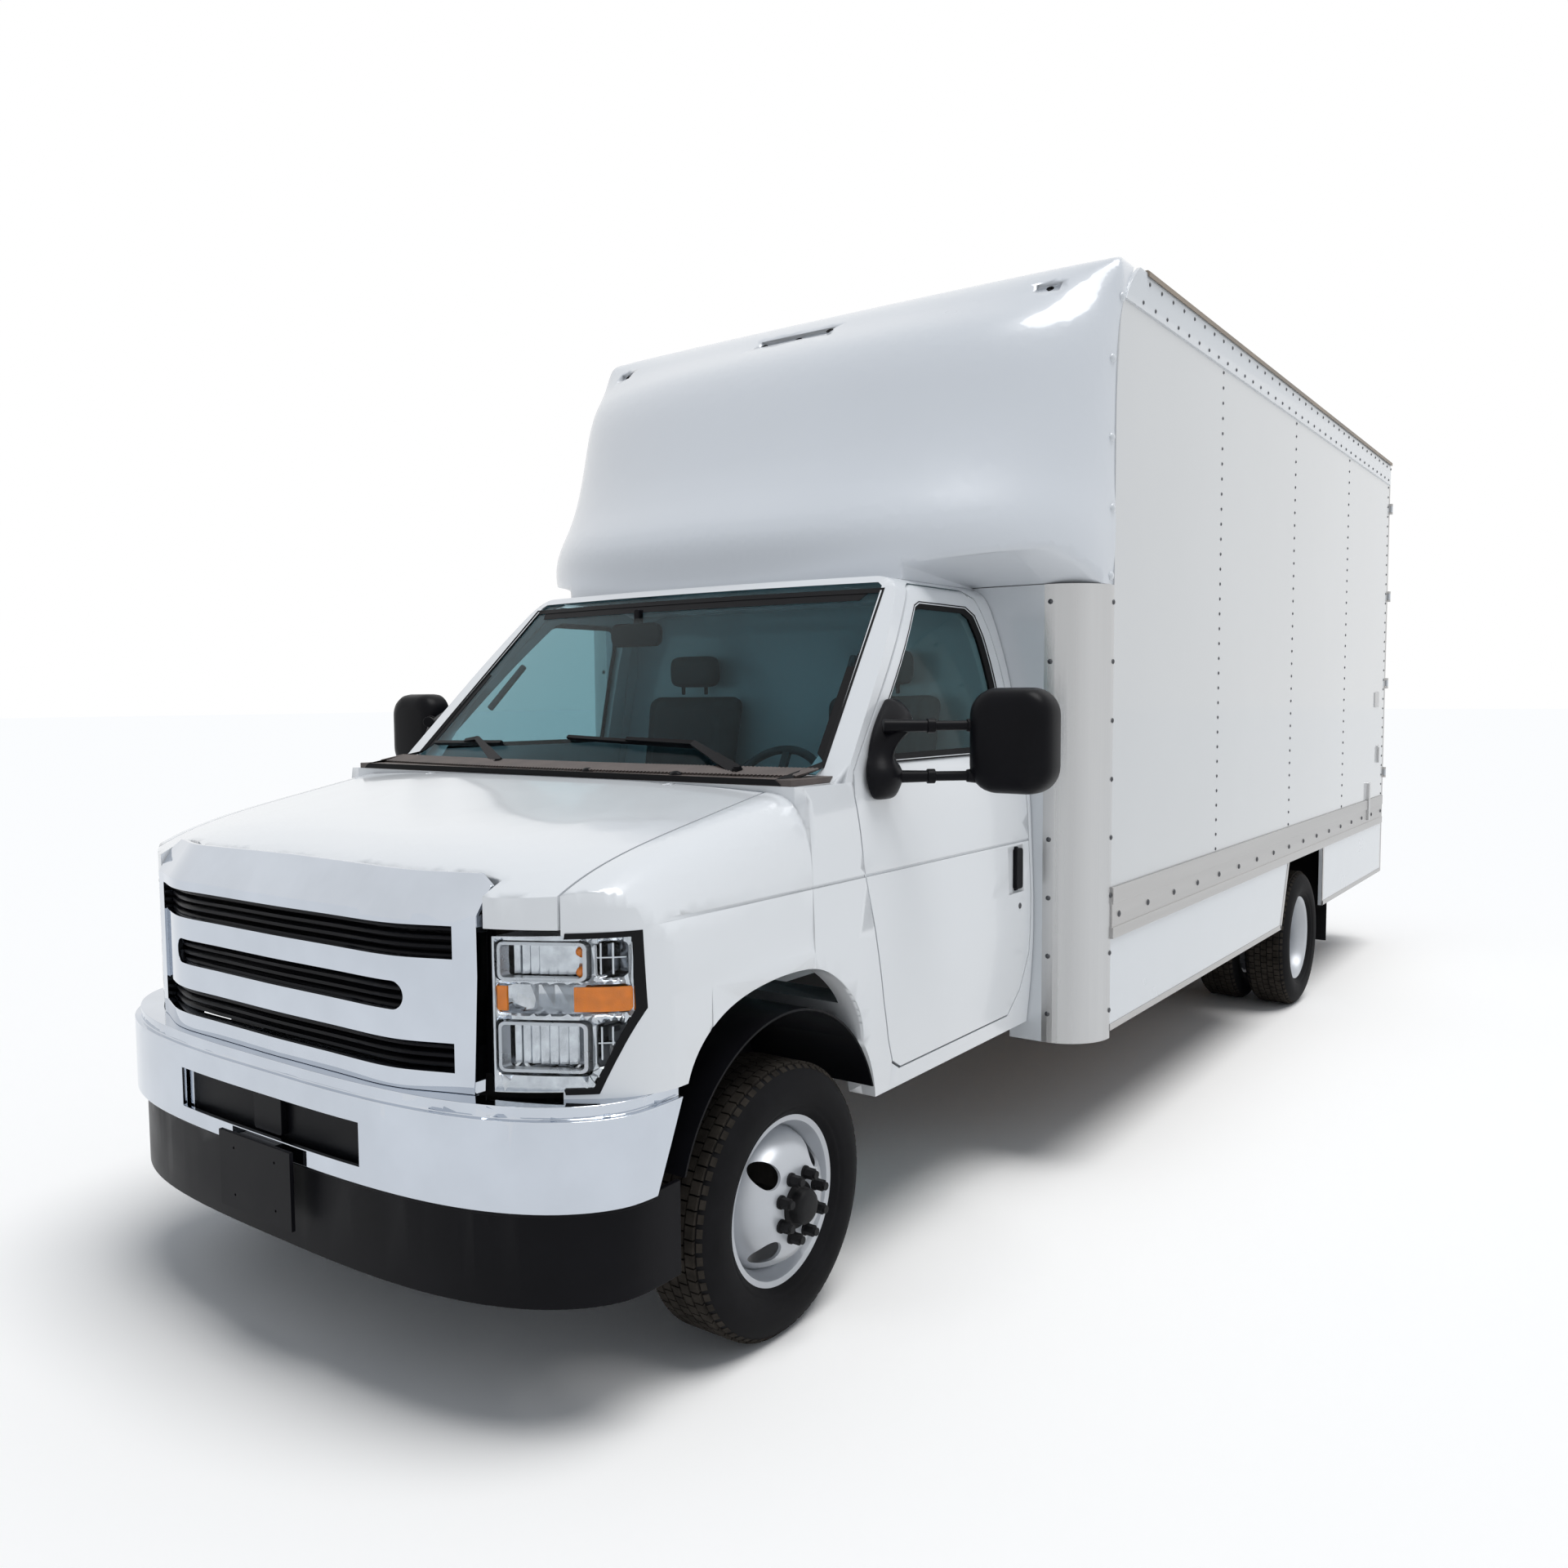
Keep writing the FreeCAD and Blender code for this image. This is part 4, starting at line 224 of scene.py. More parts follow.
def glass(name, colour):
    s = finishSettings
    mat, shader = newMaterial(name, colour, s["glassRoughness"])
    shader.inputs["Transmission Weight"].default_value = 1.0
    shader.inputs["IOR"].default_value = s["glassBend"]
    wander = spread(mat, noiseOn(mat, s["glassPatches"]), s["glassRoughness"],
                    s["glassRoughness"] + s["glassChange"])
    mat.node_tree.links.new(wander, shader.inputs["Roughness"])
    return mat


# one white paint is written at four levels, and the cab's is the lightest. The cap and box roof, the box
# sides, and the rails, skirts, front wall and rear doors are materials of their own, and their darker, cooler
# levels also hold painted shade
paintRows = {"cabPaint": ((0.74, 0.76, 0.78), 0.22), "capGelcoat": ((0.64, 0.67, 0.71), 0.3),
             "panelPaint": ((0.56, 0.575, 0.585), 0.12), "railPaint": ((0.62, 0.65, 0.68), 0.25)}
variedRows = {
    # colour, roughness, metal share, colour change, patch scale, grain, grain scale, stretch
    "chrome": ((0.56, 0.60, 0.66), 0.05, 1.0, 0.05, 5),
    "aluminium": ((0.50, 0.505, 0.51), 0.3, 1.0, 0.12, 5, 0.25, 900, (1, 1, 0.03)),
    "railAluminium": ((0.46, 0.455, 0.45), 0.36, 1.0, 0.15, 7, 0.2, 700, (1, 0.03, 1)),
    "rivetSteel": ((0.085, 0.088, 0.095), 0.35, 0.9, 0.1, 60),
    "dripBronze": ((0.24, 0.20, 0.16), 0.45, 0.7, 0.3, 11, 0.3, 300, (1, 0.1, 1)),
    "blackSteel": ((0.016, 0.016, 0.017), 0.5, 0.0, 0.3, 9, 0.2, 260),
    "castIron": ((0.045, 0.042, 0.038), 0.7, 0.3, 0.3, 12, 0.4, 180),
    "exhaustSteel": ((0.30, 0.27, 0.24), 0.5, 0.9, 0.25, 10, 0.2, 200),
    "blackPlastic": ((0.005, 0.005, 0.0065), 0.36, 0.0, 0.15, 6, 0.12, 520),
    "sealRubber": ((0.010, 0.010, 0.011), 0.55, 0.0, 0.15, 9, 0.2, 300),
    "cowlPlastic": ((0.085, 0.068, 0.062), 0.5, 0.0, 0.25, 14, 0.3, 420),
    "rubber": ((0.008, 0.008, 0.009), 0.7, 0.0, 0.25, 14, 0.3, 300),
    "treadRubber": ((0.030, 0.026, 0.022), 0.85, 0.0, 0.45, 22, 0.5, 240),
    "wheelSilver": ((0.50, 0.52, 0.55), 0.36, 0.35, 0.05, 9, 0.1, 500),
    "trimGrey": ((0.05, 0.055, 0.06), 0.6, 0.0, 0.1, 8, 0.12, 420),
    "seatCloth": ((0.06, 0.065, 0.07), 0.85, 0.0, 0.1, 14, 0.12, 300),
    "floorWood": ((0.30, 0.19, 0.10), 0.5, 0.0, 0.3, 9, 0.2, 90, (1, 0.08, 1)),
    "redLens": ((0.42, 0.01, 0.008), 0.12, 0.0, 0.1, 20),
    "amberLens": ((0.75, 0.20, 0.01), 0.12, 0.0, 0.15, 40, 0.6, 320),
    "lampChrome": ((0.55, 0.57, 0.60), 0.12, 1.0, 0.15, 30),
    "lampBezel": ((0.50, 0.52, 0.55), 0.3, 0.8, 0.06, 20),
    "mirrorGlass": ((0.60, 0.63, 0.66), 0.02, 1.0, 0.02, 6),
}
roughChanges = {"chrome": 0.02, "mirrorGlass": 0.01}
glassRows = {"tintedGlass": (0.36, 0.53, 0.58), "sideGlass": (0.40, 0.56, 0.58),
             "clearLens": (0.93, 0.95, 0.96)}
dullFinishes = ("blackSteel", "castIron", "blackPlastic", "sealRubber", "rubber", "treadRubber", "trimGrey",
                "seatCloth")

finishes = {name: paint(name, *row) for name, row in paintRows.items()}
for name, row in variedRows.items():
    roughChange = roughChanges.get(name, finishSettings["roughChange"])
    finishes[name] = variedMaterial(name, *row, roughChange=roughChange)[0]
for name in dullFinishes:
    shader = finishes[name].node_tree.nodes["Principled BSDF"]
    shader.inputs["Specular IOR Level"].default_value = finishSettings["dullSpecular"]
for name, colour in glassRows.items():
    finishes[name] = glass(name, colour)
print("finishes ready")

# shared mesh work

xWay, yWay, zWay = Vector((1, 0, 0)), Vector((0, 1, 0)), Vector((0, 0, 1))
meshSettings = {"cadJoin": 0.00002, "ownJoin": 0.000005, "flatten": 0.6, "sharp": 32, "edgeLimit": 38,
                "prismLimit": 30, "weight": 50, "farOut": 4000, "farAside": 2500, "faceLimit": 0.2,
                "ownSharp": 40}


def spot(x, y, z):
    # sizes are measured from the front axle's line, in millimetres
    return Vector((x / 1000, frontAxleY + y / 1000, z / 1000))


def linkPiece(name, mesh, finish, body, nodes=()):
    piece = inScene(name, mesh)
    mesh.name = name
    mesh.materials.clear()
    mesh.materials.append(finishes[finish])
    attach(piece, body)
    if nodes:
        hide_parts(*nodes)
    return piece


def cadMesh(nodes, flatten):
    # one clean mesh from the fixed solids: doubled points joined and flat facets merged
    bm = bmesh.new()
    for node in nodes:
        bm.from_mesh(frame["nodes"][node].data)
    bmesh.ops.remove_doubles(bm, verts=bm.verts, dist=meshSettings["cadJoin"])
    if flatten > 0:
        bmesh.ops.dissolve_limit(bm, angle_limit=radians(flatten), verts=bm.verts, edges=bm.edges)
    return bm


def finishMesh(bm, name, sharpAngle=meshSettings["sharp"], outward=False):
    if outward:
        bmesh.ops.remove_doubles(bm, verts=bm.verts, dist=meshSettings["ownJoin"])
        bmesh.ops.recalc_face_normals(bm, faces=bm.faces)
    mesh = bpy.data.meshes.new(name)
    bm.to_mesh(mesh)
    bm.free()
    mesh.shade_smooth()
    mesh.set_sharp_from_angle(angle=radians(sharpAngle))
    return mesh


def baked(helper):
    graph = bpy.context.evaluated_depsgraph_get()
    result = bpy.data.meshes.new_from_object(helper.evaluated_get(graph))
    bpy.data.objects.remove(helper)
    return result


def ownMesh(bm, name):
    return finishMesh(bm, name, meshSettings["ownSharp"], True)


def withTool(mesh, kind, **settings):
    # a live tool is put on a helper and its result is kept as plain mesh
    helper = inScene("helper", mesh)
    tool = helper.modifiers.new("tool", kind)
    for label, value in settings.items():
        setattr(tool, label, value)
    return baked(helper)


def softened(mesh, width, segments=2, limit=meshSettings["edgeLimit"]):
    if width <= 0:
        return mesh
    return withTool(mesh, "BEVEL", width=width, segments=segments, limit_method="ANGLE",
                    angle_limit=radians(limit), harden_normals=True)


def dress(name, nodes, finish, body, slotName, edge=0.0, flatten=meshSettings["flatten"]):
    mesh = softened(finishMesh(cadMesh(nodes, flatten), name), edge)
    if flatten == 0:
        mesh = withTool(mesh, "WEIGHTED_NORMAL", keep_sharp=True, weight=meshSettings["weight"])
    return linkPiece(name, mesh, finish, body, nodes)


surfaceTrees = {}


def hitFrom(nodes, start, direction):
    # where a straight line meets the fixed solids, and which way they face there
    if nodes not in surfaceTrees:
        bm = bmesh.new()
        for node in nodes:
            bm.from_mesh(frame["nodes"][node].data)
        surfaceTrees[nodes] = BVHTree.FromBMesh(bm)
        bm.free()
    return surfaceTrees[nodes].ray_cast(start, direction)[:2]


def frontHit(nodes, x, z):
    return hitFrom(nodes, spot(x, -meshSettings["farOut"], z), yWay)


def sideHit(nodes, sign, y, z):
    return hitFrom(nodes, spot(sign * meshSettings["farAside"], y, z), Vector((-sign, 0, 0)))


def smoothLine(points, steps):
    # a curve through the given points, as tuples of any length
    line = []
    for i in range(len(points) - 1):
        before, first, second = points[max(i - 1, 0)], points[i], points[i + 1]
        after = points[min(i + 2, len(points) - 1)]
        for step in range(steps):
            t = step / steps
            line.append(tuple(0.5 * (2 * b + (c - a) * t + (2 * a - 5 * b + 4 * c - d) * t * t
                                     + (3 * b - a - 3 * c + d) * t ** 3)
                              for a, b, c, d in zip(before, first, second, after)))
    line.append(tuple(points[-1]))
    return line


def spun(outline, steps):
    # outline of (along X, radius) pairs in millimetres, spun round the X axis; a closed ring of points
    bm = bmesh.new()
    rings = []
    for i in range(steps):
        angle = 2 * pi * i / steps
        rings.append([bm.verts.new((x / 1000, r * cos(angle) / 1000, r * sin(angle) / 1000))
                      for x, r in outline])
    count = len(outline)
    for i in range(steps):
        first, second = rings[i], rings[(i + 1) % steps]
        for j in range(count):
            k = (j + 1) % count
            if outline[j][1] > 0 or outline[k][1] > 0:
                bm.faces.new((first[j], first[k], second[k], second[j]))
    return bm


def joinRings(bm, first, second):
    for i in range(len(first)):
        k = (i + 1) % len(first)
        bm.faces.new((first[i], first[k], second[k], second[i]))


def mirrored(points, sign):
    return [(sign * a, b) for a, b in points]


def prism(bm, outline, axis, low, high):
    # a flat outline drawn out along an axis, all in millimetres from the front axle's line
    def corner(a, b, c):
        return spot(*{"x": (c, a, b), "y": (a, c, b), "z": (a, b, c)}[axis])

    bottom = [bm.verts.new(corner(a, b, low)) for a, b in outline]
    top = [bm.verts.new(corner(a, b, high)) for a, b in outline]
    bm.faces.new(bottom)
    bm.faces.new(reversed(top))
    for i in range(len(outline)):
        k = (i + 1) % len(outline)
        bm.faces.new((bottom[i], top[i], top[k], bottom[k]))


def roundedBox(low, high, corner, steps=4):
    points = []
    (a0, b0), (a1, b1) = low, high
    for centreA, centreB, turn in ((a1 - corner, b1 - corner, 0), (a0 + corner, b1 - corner, 1),
                                   (a0 + corner, b0 + corner, 2), (a1 - corner, b0 + corner, 3)):
        for i in range(steps + 1):
            angle = pi / 2 * (turn + i / steps)
            points.append((centreA + corner * cos(angle), centreB + corner * sin(angle)))
    return points


def boxParts(rows, sign=1):
    # rounded boxes for a prism piece: low corner, high corner, rounding, axis and both ends along it
    return [(roundedBox(low, high, corner), axis, *sorted((sign * start, sign * end)))
            for low, high, corner, axis, start, end in rows]


def prismPiece(name, parts, finish, body, edge=0.002, segments=2):
    # parts are (outline, axis, low, high); one piece of them all with softened edges
    bm = bmesh.new()
    for outline, axis, low, high in parts:
        prism(bm, outline, axis, low, high)
    mesh = softened(finishMesh(bm, name, outward=True), edge, segments, meshSettings["prismLimit"])
    return linkPiece(name, mesh, finish, body)


def insetOutline(points, width):
    # every side moves in by the width; the outline runs against the clock
    result = []
    for i in range(len(points)):
        before, here, after = (Vector(points[(i + k) % len(points)]) for k in (-1, 0, 1))
        first, second = (here - before).normalized(), (after - here).normalized()
        firstIn, secondIn = Vector((-first.y, first.x)), Vector((-second.y, second.x))
        middle = firstIn + secondIn
        result.append(tuple(here + middle * (width / max(0.3, middle.dot(firstIn)))))
    return result


def loopPoints(points, other, pitch):
    # both outlines divided alike, so that their points stay in pairs
    first, second = [], []
    for i in range(len(points)):
        k = (i + 1) % len(points)
        steps = max(1, round((Vector(points[k]) - Vector(points[i])).length / pitch))
        first += [tuple(Vector(points[i]).lerp(Vector(points[k]), n / steps)) for n in range(steps)]
        second += [tuple(Vector(other[i]).lerp(Vector(other[k]), n / steps)) for n in range(steps)]
    return first, second


def surfaceRibbon(bm, nodes, outer, inner, axis, sign, lift, thick):
    # a band between two outlines, laid on the solids as seen along an axis
    rows = []
    far = meshSettings["farOut"] * sign
    for pair in zip(outer, inner):
        row = []
        for a, b in pair:
            start = spot(far, a, b) if axis == "x" else spot(a, far, b)
            direction = Vector((-sign, 0, 0)) if axis == "x" else Vector((0, -sign, 0))
            point, _ = hitFrom(nodes, start, direction)
            if point is None:
                row = None
                break
            row += [point - direction * lift, point + direction * (thick - lift)]
        rows.append([bm.verts.new(p) for p in row] if row else None)
    for i in range(len(rows)):
        first, second = rows[i], rows[(i + 1) % len(rows)]
        if first and second:
            for a, b in ((0, 2), (2, 3), (3, 1), (1, 0)):
                bm.faces.new((first[a], first[b], second[b], second[a]))


def ribbonPiece(name, nodes, bands, axis, sign, lift, thick, finish, body):
    # one piece of all the bands, each between an outer and an inner outline
    bm = bmesh.new()
    for outer, inner in bands:
        surfaceRibbon(bm, nodes, outer, inner, axis, sign, lift, thick)
    linkPiece(name, ownMesh(bm, name), finish, body)


# fields of small repeated shapes, one instance at each given spot


def fieldTree(name, buildShape):
    tree = bpy.data.node_groups.new(name, "GeometryNodeTree")
    sockets, nodes, links = tree.interface, tree.nodes, tree.links
    sockets.new_socket("Geometry", in_out="INPUT", socket_type="NodeSocketGeometry")
    for label in ("Length", "Width", "Height"):
        sockets.new_socket(label, in_out="INPUT", socket_type="NodeSocketFloat").default_value = 0.01
    sockets.new_socket("Finish", in_out="INPUT", socket_type="NodeSocketMaterial")
    sockets.new_socket("Geometry", in_out="OUTPUT", socket_type="NodeSocketGeometry")
    entry, result = nodes.new("NodeGroupInput"), nodes.new("NodeGroupOutput")
    turn = None
    for label, axis in (("facing", "Z"), ("along", "X")):
        named = nodes.new("GeometryNodeInputNamedAttribute")
        named.data_type = "FLOAT_VECTOR"
        named.inputs["Name"].default_value = label
        align = nodes.new("FunctionNodeAlignRotationToVector")
        align.axis = axis
        align.pivot_axis = "Z" if axis == "X" else "AUTO"
        links.new(named.outputs["Attribute"], align.inputs["Vector"])
        if turn:
            links.new(turn.outputs["Rotation"], align.inputs["Rotation"])
        turn = align
    size = nodes.new("ShaderNodeCombineXYZ")
    for label, axis in (("Length", "X"), ("Width", "Y"), ("Height", "Z")):
        links.new(entry.outputs[label], size.inputs[axis])
    place = nodes.new("GeometryNodeInstanceOnPoints")
    links.new(entry.outputs["Geometry"], place.inputs["Points"])
    links.new(buildShape(nodes, links), place.inputs["Instance"])
    links.new(turn.outputs["Rotation"], place.inputs["Rotation"])
    links.new(size.outputs["Vector"], place.inputs["Scale"])
    real = nodes.new("GeometryNodeRealizeInstances")
    finish = nodes.new("GeometryNodeSetMaterial")
    links.new(place.outputs["Instances"], real.inputs["Geometry"])
    links.new(real.outputs["Geometry"], finish.inputs["Geometry"])
    links.new(entry.outputs["Finish"], finish.inputs["Material"])
    links.new(finish.outputs["Geometry"], result.inputs["Geometry"])
    return tree


def movedShape(nodes, links, source, height, scale=(1, 1, 1)):
    move = nodes.new("GeometryNodeTransform")
    move.inputs["Translation"].default_value = (0, 0, height)
    move.inputs["Scale"].default_value = scale
    links.new(source, move.inputs["Geometry"])
    return move.outputs["Geometry"]


def domeShape(nodes, links):
    # a round rivet head, one across and one high, half of it under the sheet
    ball = nodes.new("GeometryNodeMeshUVSphere")
    ball.inputs["Segments"].default_value, ball.inputs["Rings"].default_value = 8, 6
    ball.inputs["Radius"].default_value = 0.5
    return movedShape(nodes, links, ball.outputs["Mesh"], 0, (1, 1, 2))


def blockShape(nodes, links):
    block = nodes.new("GeometryNodeMeshCube")
    block.inputs["Size"].default_value = (1, 1, 1)
    return movedShape(nodes, links, block.outputs["Mesh"], 0.5)


def hexShape(nodes, links):
    # a hexagon nut on its flange, with a narrower end
    join = nodes.new("GeometryNodeJoinGeometry")
    for sides, radius, depth, low in ((16, 0.6, 0.16, 0), (6, 0.5, 0.7, 0.1), (12, 0.36, 0.24, 0.76)):
        part = nodes.new("GeometryNodeMeshCylinder")
        part.inputs["Vertices"].default_value = sides
        part.inputs["Radius"].default_value = radius
        part.inputs["Depth"].default_value = depth
        links.new(movedShape(nodes, links, part.outputs["Mesh"], low + depth / 2), join.inputs["Geometry"])
    return join.outputs["Geometry"]


rivetField, blockField, nutField = (fieldTree(*pair) for pair in (
    ("rivetField", domeShape), ("blockField", blockShape), ("nutField", hexShape)))


def fieldPiece(name, tree, spots, size, finish, body):
    # spots are (place, facing, along) in metres; the size is length, width and height in millimetres
    mesh = bpy.data.meshes.new(name)
    mesh.from_pydata([row[0] for row in spots], [], [])
    for label, column in (("facing", 1), ("along", 2)):
        values = mesh.attributes.new(label, "FLOAT_VECTOR", "POINT")
        for i, row in enumerate(spots):
            values.data[i].vector = row[column]
    helper = inScene("helper", mesh)
    tool = helper.modifiers.new("field", "NODES")
    tool.node_group = tree
    wanted = {label: part / 1000 for label, part in zip(("Length", "Width", "Height"), size)}
    wanted["Finish"] = finishes[finish]
    for item in tree.interface.items_tree:
        if item.in_out == "INPUT" and item.name in wanted:
            tool[item.identifier] = wanted[item.name]
    result = baked(helper)
    result.shade_smooth()
    result.set_sharp_from_angle(angle=radians(meshSettings["ownSharp"]))
    return linkPiece(name, result, finish, body)


def rowOnSide(nodes, path, sign):
    # spots on a side of the solids for each (y, z) of a path
    spots = []
    for y, z in path:
        point, normal = sideHit(nodes, sign, y, z)
        if point is not None:
            steep = normal.x * sign < meshSettings["faceLimit"]
            spots.append((point, Vector((sign, 0, 0)) if steep else normal, yWay))
    return spots


def evenly(low, high, pitch):
    count = max(1, round((high - low) / pitch))
    return [low + (high - low) * i / count for i in range(count + 1)]


sides = (("left", 1), ("right", -1))

plainPieces = (
    # piece, node, finish, slot, edge radius, flattening angle (0 keeps curved panels whole)
    ("cabPanels", "cab_shell", "cabPaint", "white_paint", 0.0, 0),
    ("fenderPair", "fenders", "cabPaint", "white_paint", 0.0, 0),
    ("hoodPanel", "hood", "cabPaint", "white_paint", 0.0, 0),
    ("wheelWells", "arch_liners", "blackPlastic", "black_plastic"),
    ("windshieldPane", "windshield", "tintedGlass", "tinted_glass", 0.0, 0),
    ("cowlCover", "cowl_panel", "cowlPlastic", "black_plastic", 0.002),
    ("dashBoard", "dashboard", "trimGrey", "trim_grey", 0.008),
    ("steeringWheel", "steering_wheel", "trimGrey", "trim_grey", 0.0, 0),
    ("grilleFrame", "grille", "chrome", "chrome", 0.005),
    ("grilleBack", "grille_core", "blackPlastic", "black_plastic"),
    ("headlampBowls", "headlamps", "lampChrome", "lamp_reflector", 0.0, 0),
    ("headlampLenses", "lamp_lenses", "clearLens", "lamp_lens", 0.0, 0),
    ("frontBumper", "bumper_front", "chrome", "chrome", 0.005),
    ("airDam", "valance", "blackPlastic", "black_plastic", 0.004),
    ("plateBracket", "plate_bracket", "blackPlastic", "black_plastic", 0.002),
    ("noseCap", "front_cap", "capGelcoat", "white_paint", 0.0, 0),
    ("sidePanels", "box_sides", "panelPaint", "white_paint"),
    ("frontWall", "box_front_wall", "railPaint", "white_paint", 0.001),
    ("roundCorners", "corner_posts", "aluminium", "aluminium", 0.0, 0),
    ("roofPanel", "box_roof", "capGelcoat", "white_paint", 0.002),
    ("roofRails", "roof_rails", "railPaint", "white_paint", 0.0015),
    ("rubRails", "rub_rails", "railAluminium", "aluminium", 0.0015),
    ("sideSkirts", "skirts", "railPaint", "white_paint", 0.0015),
    ("rearPortal", "rear_frame", "railAluminium", "aluminium", 0.002),
    ("rearStep", "rear_step", "blackSteel", "black_steel", 0.003),
    ("rearLamps", "tail_lamps", "redLens", "red_lens", 0.003),
    ("mudFlaps", "mud_flaps", "rubber", "black_plastic", 0.001),
    ("cargoFloor", "box_floor", "floorWood", "floor_wood", 0.0015),
    ("frameRails", "frame_rails", "blackSteel", "black_steel", 0.002),
    ("frontBeams", "front_axle", "castIron", "black_steel", 0.003),
    ("springSet", "springs", "blackSteel", "black_steel"),
    ("rearAxle", "rear_axle", "castIron", "black_steel", 0.003),
    ("engineBlock", "engine_block", "castIron", "black_steel", 0.006),
    ("fuelTank", "fuel_tank", "blackSteel", "black_steel", 0.004),
    ("exhaustRun", "exhaust", "exhaustSteel", "exhaust_steel", 0.003),
    ("radiatorCore", "radiator", "blackPlastic", "black_plastic", 0.003),
    ("tieRod", "tie_rod", "blackSteel", "black_steel", 0.001),
)

for piece, node, finish, slotName, *shape in plainPieces:
    # the hood and the tie rod ride on bodies of their own names
    dress(piece, (node,), finish, node if node in ("hood", "tie_rod") else "root", slotName, *shape)

for side, sign in sides:
    cap = side.capitalize()
    dress("knuckle" + cap, ("knuckle_" + side,), "castIron", "knuckle_" + side, "black_steel", 0.002)
    dress("door" + cap, ("door_" + side,), "cabPaint", "door_" + side, "white_paint", flatten=0)
    dress("doorGlass" + cap, ("door_glass_" + side,), "sideGlass", "door_" + side, "tinted_glass", flatten=0)
    dress("rearDoor" + cap, ("rear_door_" + side,), "railPaint", "rear_door_" + side, "white_paint", 0.002)
print("main pieces dressed")

# wheels

wheelSizes = {"frontX": 881.5, "rearX": 969.5, "axleZ": 360, "pairGap": 130, "steps": 96, "hubSteps": 48,
              "sheet": 7, "sheetLean": 0.4, "barrelShare": 0.985, "blocks": 64, "blockHeight": 9,
              "blockLength": 30.5, "blockWidth": 26, "blockSink": 0.2, "treadRows": (0, 31, 62),
              "rowShift": 0.5, "sideShift": 0.18, "shoulderX": 84, "shoulderRadius": 345.5,
              "shoulderLean": 0.75, "shoulderBlock": (22, 15, 4.5),
              "holes": 4, "holeRadius": 33, "holeCircle": 142, "holeSteps": 28, "holeDepth": 600,
              "nutCircle": 82, "nutCount": 8, "nutSize": (30, 30, 40), "nutBase": {"Front": 129, "Rear": 3}}

tyreWall = ((76, 214), (86, 225), (97, 236), (100, 241), (101, 246), (107, 256), (110.5, 270), (112.2, 285),
            (111.6, 300), (108, 315), (102, 329), (95, 340), (88, 347), (80, 350.5))
discLine = ((16, 191.5), (34, 186), (70, 170), (104, 148), (124, 118), (130, 92), (131, 60))
barrelLine = ((84, 222), (82, 214), (75, 211), (62, 208), (50, 200), (40, 195), (0, 195), (-50, 199),
              (-62, 208), (-75, 211), (-84, 222))


def placedWheel(bm, sign, centreX, centreY, offsets=(0,)):
    # copies are set out along the axle, then the wheel is put in its place
    source = list(bm.verts) + list(bm.edges) + list(bm.faces)
    for shift in offsets[1:]:
        copy = bmesh.ops.duplicate(bm, geom=source)
        bmesh.ops.translate(bm, verts=[v for v in copy["geom"] if isinstance(v, bmesh.types.BMVert)],
                            vec=((shift - offsets[0]) / 1000, 0, 0))
    for vert in bm.verts:
        vert.co.x = sign * (vert.co.x + (centreX + offsets[0]) / 1000)
        vert.co.y += centreY
        vert.co.z += wheelSizes["axleZ"] / 1000


def tyreOutline():
    wall = smoothLine(tyreWall, 3)
    return wall + [(-x, r) for x, r in reversed(wall)]


def discOutline(flip):
    s = wheelSizes
    top = smoothLine(discLine, 4)
    under = [(flip * (x - s["sheet"]), r - s["sheet"] * s["sheetLean"]) for x, r in reversed(top)]
    return [(flip * x, r) for x, r in top] + under


def barrelOutline(flip):
    s = wheelSizes
    under = [(flip * x * s["barrelShare"], r - s["sheet"]) for x, r in reversed(barrelLine)]
    return [(flip * x, r) for x, r in barrelLine] + under


def withHandHoles(mesh):
    bm = bmesh.new()
    s = wheelSizes
    radius, circle = s["holeRadius"] / 1000, s["holeCircle"]
    for i in range(s["holes"]):
        angle = pi / 4 + pi / 2 * i
        copy = bmesh.ops.create_cone(bm, cap_ends=True, segments=s["holeSteps"], radius1=radius,
                                     radius2=radius, depth=s["holeDepth"] / 1000,
                                     matrix=Matrix.Rotation(pi / 2, 4, "Y"))
        bmesh.ops.translate(bm, verts=copy["verts"],
                            vec=(0, circle * cos(angle) / 1000, circle * sin(angle) / 1000))
    cutter = inScene("holeCutter", finishMesh(bm, "holeCutter"))
    result = withTool(mesh, "BOOLEAN", operation="DIFFERENCE", solver="EXACT", object=cutter)
    bpy.data.objects.remove(cutter)
    return result


def aroundTyre(sign, x, centreY, angle, radius):
    way = Vector((0, cos(angle), sin(angle)))
    return way, Vector((sign * x / 1000, centreY, wheelSizes["axleZ"] / 1000)) + way * radius


def treadSpots(sign, centreX, centreY, offsets):
    s = wheelSizes
    spots = []
    base = (s["axleZ"] - s["blockHeight"] - s["blockSink"]) / 1000
    for shift in offsets:
        for row in s["treadRows"]:
            for x in sorted({row, -row}):
                for i in range(s["blocks"]):
                    rowShift = s["rowShift"] if row == s["treadRows"][1] else 0
                    angle = 2 * pi * (i + rowShift + (s["sideShift"] if x < 0 else 0)) / s["blocks"]
                    way, place = aroundTyre(sign, centreX + shift + x, centreY, angle, base)
                    spots.append((place, way, xWay))
    return spots


def shoulderSpots(sign, centreX, centreY, offsets):
    s = wheelSizes
    spots = []
    for shift in offsets:
        for out in (-1, 1):
            for i in range(s["blocks"]):
                angle = 2 * pi * (i + (s["sideShift"] if out < 0 else 0)) / s["blocks"]
                way, place = aroundTyre(sign, centreX + shift + out * s["shoulderX"], centreY, angle,
                                        s["shoulderRadius"] / 1000)
                facing = (way + Vector((sign * out * s["shoulderLean"], 0, 0))).normalized()
                spots.append((place, facing, Vector((0, -way.z, way.y))))
    return spots


